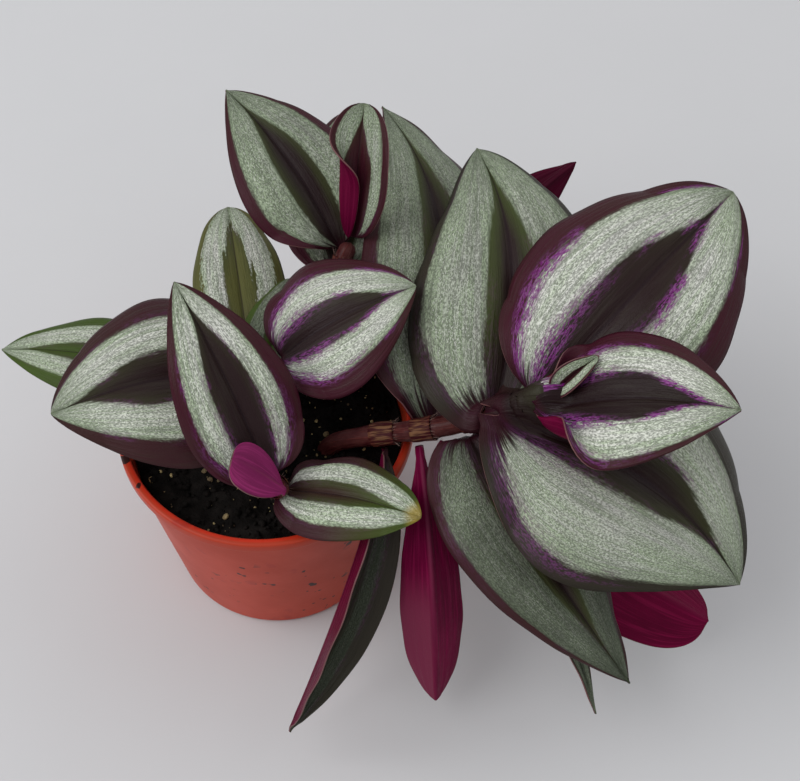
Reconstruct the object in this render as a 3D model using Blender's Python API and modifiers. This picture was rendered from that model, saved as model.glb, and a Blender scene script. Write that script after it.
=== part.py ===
"""Potted inch plant: six trailing cuttings with broad striped leaves in a small round plastic nursery pot.

The frame stands on the floor: +Z up, origin at the middle of the pot's foot, -Y towards the front.
Lengths in the tables and constants are millimetres and angles degrees. Objects are built in metres.
"""

from math import cos, exp, pi, radians, sin

import bmesh
import bpy
from mathutils import Vector
from mathutils.geometry import intersect_point_line

MM = 0.001
GAP = 0.35

# Pot
POT_HEIGHT = 48.0
POT_FOOT_RADIUS = 23.0
POT_RIM_RADIUS = 30.0
POT_WALL = 0.9
POT_FLOOR = 1.2
POT_LIP_HEIGHT = 2.6
POT_LIP_PROUD = 0.8
POT_LIP_EDGE = 0.4
POT_MOUTH_EDGE = 0.3
POT_FOOT_BEND = 1.5
POT_STEPS = 48
DRAIN_HOLES = 6
DRAIN_HOLE_RADIUS = 2.5
DRAIN_HOLE_RING = 14.5
DRAIN_HOLE_STEPS = 20

# Soil
SOIL_LEVEL = 42.5
SOIL_RINGS = 8
SOIL_STEPS = 36
SOIL_BUMP = 0.8

# Stems: the points that each one passes through, from its end in the soil to its tip
STEM_RADIUS = 2.0
STEM_TIP_RADIUS = 1.4
STEM_STEPS = 4
SHEATH_PROUD = 0.35
SHEATH_LENGTH = 3.0
STEMS = {
    "right": [
        (9, -3, 28), (13, -5, 44), (21, -7, 51), (32, -8, 55), (42, -9, 60), (50, -10, 65), (55, -10, 70),
    ],
    "front": [(0, -8, 28), (1, -13, 44), (3, -19, 52), (5, -23, 57)],
    "middle": [(-3, 3, 28), (-3, 3, 45), (-1, 3, 55), (2, 4, 63)],
    "back": [(6, 11, 28), (8, 15, 45), (12, 22, 58), (17, 29, 67)],
    "far": [(11, 5, 28), (16, 10, 44), (25, 18, 54), (41, 34, 60)],
    "left": [(-14, 8, 28), (-16, 9, 44), (-19, 9, 51)],
}

# Leaves: at is the share of the stem's length where the leaf sits, and 1 with tip set is its very end.
# side is the compass heading of the point of the stem that it leaves from, and heading and rise give the way
# to its tip. length and width are the blade's own. The other values shape it, and LEAF_SHAPE says how.
BLADE = 0.7
BLADE_ROWS = 13
BLADE_COLUMNS = 6
BLADE_BASE_WIDTH = 1.6
BLADE_TIP_WIDTH = 0.35
BLADE_EDGE_ROWS = 0.6  # how much closer together the rows lie at the base and tip
FOLD_WIDTH = 1.5  # half width below which the fold and curl flatten out
CURL_START = 0.18  # share of the length over which the curl of the halves sets in
CURL_END = 0.8  # share of the length past which it fades
CURL_FADE = 3.0  # how fast it fades there
CLASP_END = 0.5  # share of the length up to which a blade is kept under its stem
CLASP_WIDTH = 1.6  # reach of that to each side, in clearances
CLASP_DEPTH = 2.0  # how far above the stem a point is still taken under it, in clearances
SLOPE_STEP = 0.02
LEAF_SHAPE = {
    "roll": 0,  # turn of the blade about the line to its tip
    "arch": 0.08,  # how far the midrib bows up, as a share of the length
    "sickle": 0.0,  # how far it bows to its left
    "droop": 1.0,  # below 1 the bow is fullest near the base
    "fold": 20,  # angle of each half above level at the midrib
    "bend": 50,  # how far each half curls back down to its margin
    "cup": 0,  # what is added to that at the base
    "lobe": 0.03,  # how far the margins reach back past the base
    "base": 0.45,  # roundness of the outline at the base
    "point": 0.75,  # roundness of the outline towards the tip
    "lift": -30,  # angle of the base above the stem's widest line
    "clasp": True,  # whether the base is pressed under the stem where they meet
    "tip": False,
}
LEAVES = {
    "leaf_right_1": dict(stem="right", at=0.44, side=-90, heading=-114, rise=-41, length=62, width=17,
                         arch=0.165, sickle=0.07, droop=0.6, roll=60, fold=50, bend=10, lobe=0,
                         base=0.8, point=1.0, lift=-60),
    "leaf_right_2": dict(stem="right", at=0.56, side=-90, heading=-84, rise=-50, length=55, width=15,
                         arch=0.2, droop=0.7, roll=180, fold=40, bend=10, lobe=0, base=0.8, point=0.5),
    "leaf_right_3": dict(stem="right", at=0.60, side=90, heading=98, rise=8, length=76, width=37, roll=-12,
                         arch=0.10, sickle=-0.09, bend=60, lobe=0, point=1.05),
    "leaf_right_4": dict(stem="right", at=0.66, side=-90, heading=-54, rise=-38, length=63, width=9,
                         arch=0.04, sickle=0.04, fold=40, bend=30, lobe=0, point=1.0),
    "leaf_right_5": dict(stem="right", at=0.72, side=-100, heading=-53, rise=-26, length=56, width=30,
                         arch=0.12, sickle=-0.06, fold=18, bend=60, point=1.05),
    "leaf_right_6": dict(stem="right", at=0.76, side=90, heading=91, rise=15, length=56, width=42,
                         arch=0.10, sickle=-0.08, bend=60, lobe=0, point=0.9),
    "leaf_right_7": dict(stem="right", at=0.62, side=-90, heading=-19.5, rise=-32.5, length=71, width=24,
                         arch=-0.04, roll=180, bend=10, lobe=0, base=0.9, point=0.4),
    "leaf_right_8": dict(stem="right", at=0.85, side=-70, heading=-31, rise=-17, length=52, width=54,
                         arch=0.12, sickle=0.06, bend=54, lobe=-0.08, base=0.6, point=0.92),
    "leaf_right_9": dict(stem="right", at=0.93, side=60, heading=43, rise=20, length=55, width=45, roll=-15,
                         arch=0.10, sickle=-0.03, fold=22, bend=66, lobe=0.02, base=0.5, point=0.76),
    "leaf_right_10": dict(stem="right", at=0.97, side=-60, heading=-18.5, rise=26, length=37, width=28,
                          roll=-8, arch=0.10, fold=26, bend=45, base=0.7, point=0.85, lift=-10),
    "leaf_right_bud": dict(stem="right", at=1.0, tip=True, heading=17, rise=48, length=11, width=7,
                           arch=0.05, fold=50, bend=-30, lobe=0),
    "leaf_front_1": dict(stem="front", at=0.75, heading=-21, rise=15, length=29, width=20,
                         fold=18, point=0.7),
    "leaf_front_2": dict(stem="front", at=0.85, heading=123, rise=42, length=41, width=24,
                         arch=0.10, fold=25, lobe=-0.01, point=0.85, clasp=False),
    "leaf_front_bud": dict(stem="front", at=1.0, tip=True, heading=170, rise=44, length=13, width=9, roll=150,
                           arch=0.05, fold=20, bend=20, lobe=0, base=0.8, point=0.25),
    "leaf_middle_1": dict(stem="middle", at=0.6, heading=100, rise=5, length=45, width=20,
                          fold=15, bend=40, point=0.6),
    "leaf_middle_2": dict(stem="middle", at=0.7, heading=76, rise=8, length=24, width=14, point=0.7),
    "leaf_middle_3": dict(stem="middle", at=0.85, heading=-162, rise=5, length=39, width=38, roll=12,
                          arch=0.10, fold=18, lobe=-0.01, point=0.8, clasp=False),
    "leaf_middle_4": dict(stem="middle", at=0.98, heading=17, rise=24, length=30, width=30,
                          roll=-10, point=0.8),
    "leaf_back_1": dict(stem="back", at=0.95, heading=129, rise=23, length=40, width=28, roll=-2,
                        sickle=-0.02, fold=25, lobe=-0.02, base=0.5, point=0.95, lift=-10),
    "leaf_back_2": dict(stem="back", at=0.84, heading=86, rise=6, length=42, width=26, point=0.8, lift=-45),
    "leaf_back_bud": dict(stem="back", at=1.0, tip=True, heading=80, rise=57, length=27, width=14,
                          fold=25, bend=-10, cup=-110, lobe=0, base=0.7, point=0.45),
    "leaf_far_1": dict(stem="far", at=0.75, heading=128, rise=-8, length=34, width=20, arch=0.12, point=0.9),
    "leaf_far_2": dict(stem="far", at=0.98, heading=39, rise=15, length=31, width=14, roll=160,
                       arch=0.04, fold=30, bend=10, point=0.9),
    "leaf_left_1": dict(stem="left", at=0.98, heading=172, rise=2, length=34, width=21,
                        fold=15, bend=40, point=0.9),
}
GREEN_LEAVES = {"leaf_front_1", "leaf_left_1", "leaf_middle_1", "leaf_right_1", "leaf_right_4"}

COLOURS = {
    "pot": (0.26, 0.07, 0.04, 0.45),
    "soil": (0.022, 0.016, 0.013, 0.95),
    "stem": (0.16, 0.02, 0.03, 0.5),
    "striped leaf": (0.33, 0.40, 0.33, 0.4),
    "green leaf": (0.13, 0.20, 0.06, 0.45),
}


def material(name):
    """Material of one colour and roughness from the table."""
    red, green, blue, roughness = COLOURS[name]
    made = bpy.data.materials.new(name)
    made.use_nodes = True
    shader = made.node_tree.nodes["Principled BSDF"]
    shader.inputs["Base Color"].default_value = (red, green, blue, 1)
    shader.inputs["Roughness"].default_value = roughness
    shader.inputs["Metallic"].default_value = 0
    return made


def collection(name):
    """New collection in the scene."""
    made = bpy.data.collections.new(name)
    bpy.context.scene.collection.children.link(made)
    return made


def placed(name, data, group, look=None):
    """Object of that data in a collection, with its material."""
    made = bpy.data.objects.new(name, data)
    group.objects.link(made)
    if look:
        data.materials.append(look)
    return made


def cutter(made):
    """Marks an object as one that only cuts others."""
    made.hide_render = True
    made.display_type = "WIRE"
    return made


def cut(made, tool):
    """Takes the tool's shape out of an object."""
    boolean = made.modifiers.new("cut by " + tool.name, "BOOLEAN")
    boolean.operation = "DIFFERENCE"
    boolean.object = tool


def turned(name, outline, steps, group, look):
    """Solid of revolution about the Z axis from (radius, height) points, running down its outer side."""
    mesh = bpy.data.meshes.new(name)
    bm = bmesh.new()
    points = [bm.verts.new((radius * MM, 0, height * MM)) for radius, height in outline]
    for a, b in zip(points, points[1:]):
        bm.edges.new((a, b))
    bm.to_mesh(mesh)
    bm.free()
    made = placed(name, mesh, group, look)
    screw = made.modifiers.new("turn", "SCREW")
    screw.steps = steps
    screw.render_steps = steps
    screw.use_merge_vertices = True
    screw.merge_threshold = 0.00001
    return made


def pot_radius(height):
    """Outer radius of the pot's tapered wall."""
    return POT_FOOT_RADIUS + (POT_RIM_RADIUS - POT_LIP_PROUD - POT_FOOT_RADIUS) * height / POT_HEIGHT


def build_pot(group, tools):
    """Tapered shell with a rolled lip and a ring of drain holes in its floor."""
    lip_foot = POT_HEIGHT - POT_LIP_HEIGHT
    outline = [
        (0, POT_FLOOR),
        (pot_radius(POT_FLOOR) - POT_WALL, POT_FLOOR),
        (pot_radius(POT_HEIGHT) - POT_WALL, POT_HEIGHT - POT_MOUTH_EDGE),
        (pot_radius(POT_HEIGHT) - POT_WALL + POT_MOUTH_EDGE, POT_HEIGHT),
        (POT_RIM_RADIUS - POT_LIP_EDGE, POT_HEIGHT),
        (POT_RIM_RADIUS, POT_HEIGHT - POT_LIP_EDGE),
        (POT_RIM_RADIUS, lip_foot + POT_MOUTH_EDGE),
        (pot_radius(lip_foot), lip_foot),
        (pot_radius(POT_FOOT_BEND), POT_FOOT_BEND),
        (POT_FOOT_RADIUS - POT_FOOT_BEND, 0),
        (0, 0),
    ]
    pot = turned("pot", outline, POT_STEPS, group, material("pot"))
    for index in range(DRAIN_HOLES):
        angle = 2 * pi * index / DRAIN_HOLES
        place = Vector((DRAIN_HOLE_RING * cos(angle), DRAIN_HOLE_RING * sin(angle), POT_FLOOR / 2))
        bpy.ops.mesh.primitive_cylinder_add(
            vertices=DRAIN_HOLE_STEPS,
            radius=DRAIN_HOLE_RADIUS * MM,
            depth=4 * POT_FLOOR * MM,
            location=place * MM,
        )
        hole = cutter(bpy.context.object)
        hole.name = f"drain_hole_{index + 1}"
        for old in hole.users_collection:
            old.objects.unlink(hole)
        tools.objects.link(hole)
        cut(pot, hole)
    return pot


def soil_height(x, y):
    """Height of the loose, slightly domed soil at a point."""
    lumps = sin(0.55 * x + 1.3) * cos(0.47 * y - 0.4) + 0.6 * sin(0.31 * x - 0.62 * y)
    edge = (x * x + y * y) / POT_RIM_RADIUS**2
    return SOIL_LEVEL + SOIL_BUMP * (lumps + 0.8 - 1.4 * edge)


def build_soil(group):
    """Plug of soil that fills the pot and keeps the uneven top."""
    inner = [pot_radius(height) - POT_WALL - GAP for height in (POT_FLOOR + GAP, SOIL_LEVEL)]
    mesh = bpy.data.meshes.new("soil")
    bm = bmesh.new()
    profile = [bm.verts.new((inner[1] * ring / SOIL_RINGS, 0, SOIL_LEVEL)) for ring in range(SOIL_RINGS + 1)]
    profile.append(bm.verts.new((inner[0], 0, POT_FLOOR + GAP)))
    profile.append(bm.verts.new((0, 0, POT_FLOOR + GAP)))
    edges = [bm.edges.new(pair) for pair in zip(profile, profile[1:])]
    bmesh.ops.spin(bm, geom=profile + edges, axis=(0, 0, 1), cent=(0, 0, 0), angle=2 * pi,
                   steps=SOIL_STEPS, use_merge=True)
    bmesh.ops.remove_doubles(bm, verts=bm.verts, dist=0.01)
    for vert in bm.verts:
        if vert.co.z == SOIL_LEVEL:
            vert.co.z = soil_height(vert.co.x, vert.co.y)
    bmesh.ops.recalc_face_normals(bm, faces=bm.faces)
    bmesh.ops.triangulate(bm, faces=bm.faces)
    bmesh.ops.scale(bm, vec=(MM, MM, MM), verts=bm.verts)
    bm.to_mesh(mesh)
    bm.free()
    return placed("soil", mesh, group, material("soil"))


def smooth_path(points, steps):
    """Points along a Catmull-Rom curve through the given ones."""
    knots = [Vector(point) for point in points]
    knots = [2 * knots[0] - knots[1], *knots, 2 * knots[-1] - knots[-2]]
    path = []
    for a, b, c, d in zip(knots, knots[1:], knots[2:], knots[3:]):
        for step in range(steps):
            t = step / steps
            path.append(b + (c - a) * t / 2 + (2 * a - 5 * b + 4 * c - d) * t**2 / 2
                        + (3 * b - a - 3 * c + d) * t**3 / 2)
    path.append(knots[-2])
    return path


def path_shares(path):
    """Share of the path's length at each of its points."""
    lengths = [0]
    for a, b in zip(path, path[1:]):
        lengths.append(lengths[-1] + (b - a).length)
    return [length / lengths[-1] for length in lengths], lengths[-1]


def along(path, share):
    """Point and direction at a share of the path's length."""
    shares, _ = path_shares(path)
    index = max(i for i, value in enumerate(shares[:-1]) if value <= share)
    a, b = path[index], path[index + 1]
    return a.lerp(b, (share - shares[index]) / (shares[index + 1] - shares[index])), (b - a).normalized()


def stem_radius(stem, share, length):
    """Radius of a stem, which tapers and swells a little where a leaf's sheath clasps it."""
    radius = STEM_RADIUS + (STEM_TIP_RADIUS - STEM_RADIUS) * share**2
    swell = 0
    for leaf in LEAVES.values():
        if leaf["stem"] == stem and not leaf.get("tip"):
            away = (share - leaf["at"]) * length / SHEATH_LENGTH
            swell = max(swell, exp(-away * away))
    return radius + SHEATH_PROUD * swell


def stem_curve(name, stem, spare, start, group):
    """Round curve along a stem, thicker than it by spare and longer at its foot by start."""
    path = smooth_path(STEMS[stem], STEM_STEPS)
    shares, length = path_shares(path)
    path[0] = path[0] - (path[1] - path[0]).normalized() * start
    data = bpy.data.curves.new(name, "CURVE")
    data.dimensions = "3D"
    data.bevel_depth = MM
    data.bevel_resolution = 2
    data.use_fill_caps = True
    spline = data.splines.new("POLY")
    spline.points.add(len(path) - 1)
    for point, place, share in zip(spline.points, path, shares):
        point.co = (*(place * MM), 1)
        point.radius = stem_radius(stem, share, length) + spare
    return placed(name, data, group)


def as_mesh(curve):
    """The closed mesh of a curve, in the curve's place."""
    tree = bpy.context.evaluated_depsgraph_get()
    mesh = bpy.data.meshes.new_from_object(curve.evaluated_get(tree))
    bm = bmesh.new()
    bm.from_mesh(mesh)
    bmesh.ops.remove_doubles(bm, verts=bm.verts, dist=0.00001)
    bm.to_mesh(mesh)
    bm.free()
    name, group = curve.name, curve.users_collection[0]
    data = curve.data
    bpy.data.objects.remove(curve)
    bpy.data.curves.remove(data)
    return placed(name, mesh, group)


def build_stems(soil, group, tools):
    """The stems, each standing in a plain hole in the soil."""
    look = material("stem")
    for stem in STEMS:
        made = stem_curve(f"stem_{stem}", stem, 0, 0, group)
        made.data.materials.append(look)
        hole = stem_curve(f"stem_hole_{stem}", stem, GAP, GAP, tools)
        bpy.context.view_layer.update()
        cut(soil, cutter(as_mesh(hole)))


def leaf_half_width(share, leaf):
    """Half the blade's width at a share of its length."""
    widest = leaf["base"] / (leaf["base"] + leaf["point"])
    fullest = widest ** leaf["base"] * (1 - widest) ** leaf["point"]
    outline = share ** leaf["base"] * (1 - share) ** leaf["point"] / fullest
    narrow = BLADE_BASE_WIDTH * (1 - share) ** 2 + BLADE_TIP_WIDTH
    return max(leaf["width"] * outline, narrow) / 2


def stem_clearance(stem, share, path):
    """Distance from a stem's axis at which the middle of a blade clears it."""
    return stem_radius(stem, share, path_shares(path)[1]) + GAP + BLADE / 2


def under_stem(place, leaf):
    """A place on a blade, lowered where it would touch the leaf's own stem, which passes over the blade."""
    path = smooth_path(STEMS[leaf["stem"]], STEM_STEPS)
    shares, _ = path_shares(path)
    nearest = []
    for index, (a, b) in enumerate(zip(path, path[1:])):
        part = max(0, min(1, intersect_point_line(place, a, b)[1]))
        foot = a.lerp(b, part)
        share = shares[index] * (1 - part) + shares[index + 1] * part
        nearest.append(((place - foot).length, index, foot, share))
    _, index, foot, share = min(nearest)
    way = (path[index + 1] - path[index]).normalized()
    down = (way * way.z - Vector((0, 0, 1))).normalized()
    clear = stem_clearance(leaf["stem"], share, path)
    depth = (place - foot).dot(down)
    aside = (place - foot - down * depth).length
    away = aside / (CLASP_WIDTH * clear)
    needed = clear * exp(-(away**2))
    if -CLASP_DEPTH * clear < depth < needed:
        return place + down * (needed - depth) * exp(-(away**4))
    return place


def leaf_axes(leaf):
    """Base of a leaf, the way to its tip, the level normal of that way and the way across the blade."""
    path = smooth_path(STEMS[leaf["stem"]], STEM_STEPS)
    point, stem_way = along(path, leaf["at"])
    heading, rise = radians(leaf["heading"]), radians(leaf["rise"])
    forward = Vector((cos(rise) * cos(heading), cos(rise) * sin(heading), sin(rise)))
    level = (Vector((0, 0, 1)) - forward * forward.z).normalized()
    roll = radians(leaf["roll"])
    across = level.cross(forward) * cos(roll) - level * sin(roll)
    if leaf["tip"]:
        base = point + stem_way * 2 * BLADE
    else:
        side = radians(leaf.get("side", leaf["heading"]))
        lift = radians(leaf["lift"])
        out = Vector((cos(lift) * cos(side), cos(lift) * sin(side), sin(lift)))
        out = (out - stem_way * out.dot(stem_way)).normalized()
        base = point + out * stem_clearance(leaf["stem"], leaf["at"], path)
    return base, forward, level, across


def midrib_bow(leaf, share):
    """How far the midrib bows at a share of its length: 0 at both ends and 1 at the fullest."""
    eased = max(0, share) ** leaf["droop"]
    return 4 * eased * (1 - eased)


def blade_point(leaf, axes, share, aside):
    """Point of the blade's middle sheet, with share from base to tip and aside from -1 to 1 across."""
    base, forward, level, across = axes
    bow_way = level * leaf["arch"] + level.cross(forward) * leaf["sickle"]
    middle = base + (forward * share + bow_way * midrib_bow(leaf, share)) * leaf["length"]
    rise = midrib_bow(leaf, share + SLOPE_STEP) - midrib_bow(leaf, share - SLOPE_STEP)
    slope = rise / (2 * SLOPE_STEP)
    ahead = (forward + bow_way * slope).normalized()
    across = (across - ahead * across.dot(ahead)).normalized()
    out = ahead.cross(across)
    away = abs(aside)
    half = leaf_half_width(share, leaf)
    flat = min(1, half / FOLD_WIDTH)
    fold = radians(leaf["fold"]) * flat
    bend = radians(leaf["bend"] + leaf["cup"] * (1 - share) ** 2) * flat
    bend = bend * min(1, share / CURL_START) * (1 - CURL_FADE * max(0, share - CURL_END)) + 0.00001
    sideways = half * (sin(fold) - sin(fold - bend * away)) / bend
    lift = half * (cos(fold - bend * away) - cos(fold)) / bend
    back = leaf["length"] * leaf["lobe"] * away**2 * (1 - share) ** 3
    place = middle + across * sideways * (1 if aside > 0 else -1) + out * lift - ahead * back
    if leaf["clasp"] and not leaf["tip"] and share < CLASP_END:
        place = under_stem(place, leaf)
    return place


def build_leaf(name, leaf, group, look):
    """One leaf blade: a grid bent to its form, split into triangles and given its thickness."""
    leaf = LEAF_SHAPE | leaf
    axes = leaf_axes(leaf)
    mesh = bpy.data.meshes.new(name)
    bm = bmesh.new()
    bmesh.ops.create_grid(bm, x_segments=BLADE_ROWS, y_segments=BLADE_COLUMNS, size=1)
    for vert in bm.verts:
        share = (vert.co.x + 1) / 2
        share += BLADE_EDGE_ROWS * ((1 - cos(pi * share)) / 2 - share)
        vert.co = blade_point(leaf, axes, share, vert.co.y) * MM
    bmesh.ops.triangulate(bm, faces=bm.faces)
    bm.to_mesh(mesh)
    bm.free()
    made = placed(name, mesh, group, look)
    solidify = made.modifiers.new("thickness", "SOLIDIFY")
    solidify.thickness = BLADE * MM
    solidify.offset = 0
    return made


def build_leaves(group):
    """Every leaf of every stem."""
    striped = material("striped leaf")
    green = material("green leaf")
    for name, leaf in LEAVES.items():
        build_leaf(name, leaf, group, green if name in GREEN_LEAVES else striped)


def main():
    for old in list(bpy.data.objects):
        bpy.data.objects.remove(old)
    plant = collection("potted inch plant")
    tools = collection("cutters")
    build_pot(plant, tools)
    soil = build_soil(plant)
    build_stems(soil, plant, tools)
    build_leaves(plant)


if __name__ == "__main__":
    main()
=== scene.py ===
"""Potted inch plant: the fine leaves, stems, soil and pot that dress the plain model, with a small studio.

Lengths in the tables are millimetres and angles degrees. Panel values and meshes are metres.
+Z is up, -Y is towards the front, and the origin is the middle of the pot's foot.
"""

from math import cos, exp, pi, radians, sin
from random import Random

import bmesh
import bpy
from bpy.props import FloatProperty, FloatVectorProperty, IntProperty, PointerProperty
from bpy.types import Operator, Panel, PropertyGroup
from mathutils import Matrix, Vector, noise
from mathutils.geometry import intersect_point_line


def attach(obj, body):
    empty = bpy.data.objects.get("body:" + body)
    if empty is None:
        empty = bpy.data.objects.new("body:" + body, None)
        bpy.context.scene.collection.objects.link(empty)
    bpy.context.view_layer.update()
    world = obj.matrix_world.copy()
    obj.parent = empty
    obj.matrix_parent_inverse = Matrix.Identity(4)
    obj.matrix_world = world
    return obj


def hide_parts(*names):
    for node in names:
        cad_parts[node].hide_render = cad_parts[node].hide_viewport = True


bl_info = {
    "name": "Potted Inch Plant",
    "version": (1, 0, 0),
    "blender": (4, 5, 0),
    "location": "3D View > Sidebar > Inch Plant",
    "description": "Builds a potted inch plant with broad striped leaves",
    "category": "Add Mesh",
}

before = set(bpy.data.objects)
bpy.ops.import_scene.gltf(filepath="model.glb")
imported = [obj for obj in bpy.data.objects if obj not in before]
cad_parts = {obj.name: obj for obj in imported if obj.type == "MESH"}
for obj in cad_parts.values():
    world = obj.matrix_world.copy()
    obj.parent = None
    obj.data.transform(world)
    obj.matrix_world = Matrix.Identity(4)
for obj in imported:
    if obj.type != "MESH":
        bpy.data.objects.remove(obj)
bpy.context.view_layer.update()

MM = 0.001
UP = Vector((0, 0, 1))

# Pot
POT_HEIGHT = 48.0
POT_FOOT_RADIUS = 23.0
POT_RIM_RADIUS = 30.0
POT_WALL = 0.9
POT_FLOOR = 1.2
POT_LIP_HEIGHT = 2.6
POT_LIP_PROUD = 0.8
POT_FOOT_BEND = 1.5
POT_INNER_CORNER = 0.4
POT_MOUTH_BEND = 0.45
POT_RIM_BEND = 0.5
POT_LIP_BEND = 0.3
POT_ROWS = 12
POT_CREASE = 40  # angle past which an edge stays sharp
DRAIN_HOLES = 6
DRAIN_HOLE_RADIUS = 2.5
DRAIN_HOLE_RING = 14.5
DRAIN_HOLE_SIDES = 32

# Soil
SOIL_LEVEL = 42.5
SOIL_BUMP = 0.8
SOIL_COARSE = 0.45  # height of the relief's lumps
SOIL_FINE = 0.3  # and of its crumbs
SOIL_RINGS = 56
SOIL_SIDES = 168
GAP = 0.35  # between the soil and the pot, and between a leaf and its stem
CRUMB_SIZES = (0.25, 1.0)
GRIT_SIZES = (0.14, 0.7)
GRAIN_POWER = 2.5  # above 1, most grains are small
GRAIN_SHARES = [(0.7, 1.3), (0.7, 1.3), (0.6, 1.0)]  # of a grain's size, along each axis
GRAIN_SINK = 0.3
GRAIN_DENT = 0.15
GRAIN_CLEAR = 1.2  # how far the grains stay from the pot's wall
FIBRE_LENGTHS = (2.0, 5.0)
FIBRE_RADIUS = 0.11

# Stems: the points that each one passes through, from its end in the soil to its tip
STEM_RADIUS = 2.0
STEM_TIP_RADIUS = 1.4
STEM_END_RADIUS = 0.02
STEM_STEPS = 4  # points from one of the stem's places to the next
FINE_STEM_STEPS = 12
STEM_ROWS = 110
STEM_SIDES = 28
LAST_SHARE = 0.9999  # just short of the tip, so that a direction is left to follow
SHEATH_PROUD = 0.35  # how far the stem swells under a sheath
SHEATH_LENGTH = 3.0
SHEATH_SPACING = 7.0  # two leaves closer than this share a sheath
SHEATH_BELOW = 1.0
SHEATH_ABOVE = 3.6
SHEATH_LAST = 0.995
SHEATH_LOOSE = 0.06
SHEATH_FLARE = 0.22  # how much wider it is at its mouth
SHEATH_WALL = 0.16
SHEATH_ROWS = 8
HAIR_RADIUS = 0.035
HAIR_ROOT = 0.02
HAIR_TAPER = 0.15
STEMS = {
    "right": [
        (9, -3, 28), (13, -5, 44), (21, -7, 51), (32, -8, 55), (42, -9, 60), (50, -10, 65), (55, -10, 70),
    ],
    "front": [(0, -8, 28), (1, -13, 44), (3, -19, 52), (5, -23, 57)],
    "middle": [(-3, 3, 28), (-3, 3, 45), (-1, 3, 55), (2, 4, 63)],
    "back": [(6, 11, 28), (8, 15, 45), (12, 22, 58), (17, 29, 67)],
    "far": [(11, 5, 28), (16, 10, 44), (25, 18, 54), (41, 34, 60)],
    "left": [(-14, 8, 28), (-16, 9, 44), (-19, 9, 51)],
}

# Leaves: their place and form
BLADE = 0.7
BLADE_BASE_WIDTH = 1.6
BLADE_TIP_WIDTH = 0.35
BLADE_EDGE_ROWS = 0.6  # how much the rows crowd towards both ends
SMALL_LEAF = 20  # length below which a blade has half the rows and columns
FOLD_WIDTH = 1.5  # half width below which the fold flattens
CURL_START = 0.18  # share of the length where the bend is full
CURL_END = 0.8  # and where it starts to open again
CURL_FADE = 3.0
CLASP_END = 0.5  # share of the length that is kept off the stem
CLASP_WIDTH = 1.6  # reach to either side, in clearances of the stem
CLASP_DEPTH = 2.0  # reach above it
SLOPE_STEP = 0.02
FLAP_CURVE = 1.5  # width of the strip over which a flap turns
FLAP_FADE = 6
THINNING = 0.55  # share of a half where its margin starts to thin
RELIEF_BASE = 0.06  # share of the length where the relief rises from the base
RELIEF_TIP = 0.08  # and where it fades towards the tip
GROOVE_WIDTH = 0.55
VEIN_SPACING = 2.2
WAVE_HEIGHT = 0.16
HALF_WAVE = 6.5
WAVE_SHIFT = 1.7
SEED_STEP = 7.3  # between the patterns of one leaf and the next
LEAF_SHAPE = {
    "roll": 0,  # turn of the blade about the line to its tip
    "arch": 0.08,  # how far the midrib bows up, as a share of the length
    "sickle": 0.0,  # how far it bows to its left
    "droop": 1.0,  # below 1 the bow is fullest near the base
    "fold": 20,  # angle of each half above level at the midrib
    "bend": 50,  # how far each half curls back down to its margin
    "flap": (1, 0, 1),  # its start as a share of the half, its angle, and its end as a share of the length
    "lobe": 0.03,  # how far the margins reach back past the base
    "base": 0.45,  # roundness of the outline at the base
    "point": 0.75,  # roundness of the outline towards the tip
    "lift": -30,  # angle of the base above the stem's widest line
    "clasp": True,  # whether the base is pressed off the stem where they meet
    "over": None,  # height at which the base passes over its own stem, or none where it passes under it
    "tip": False,
}

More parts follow.
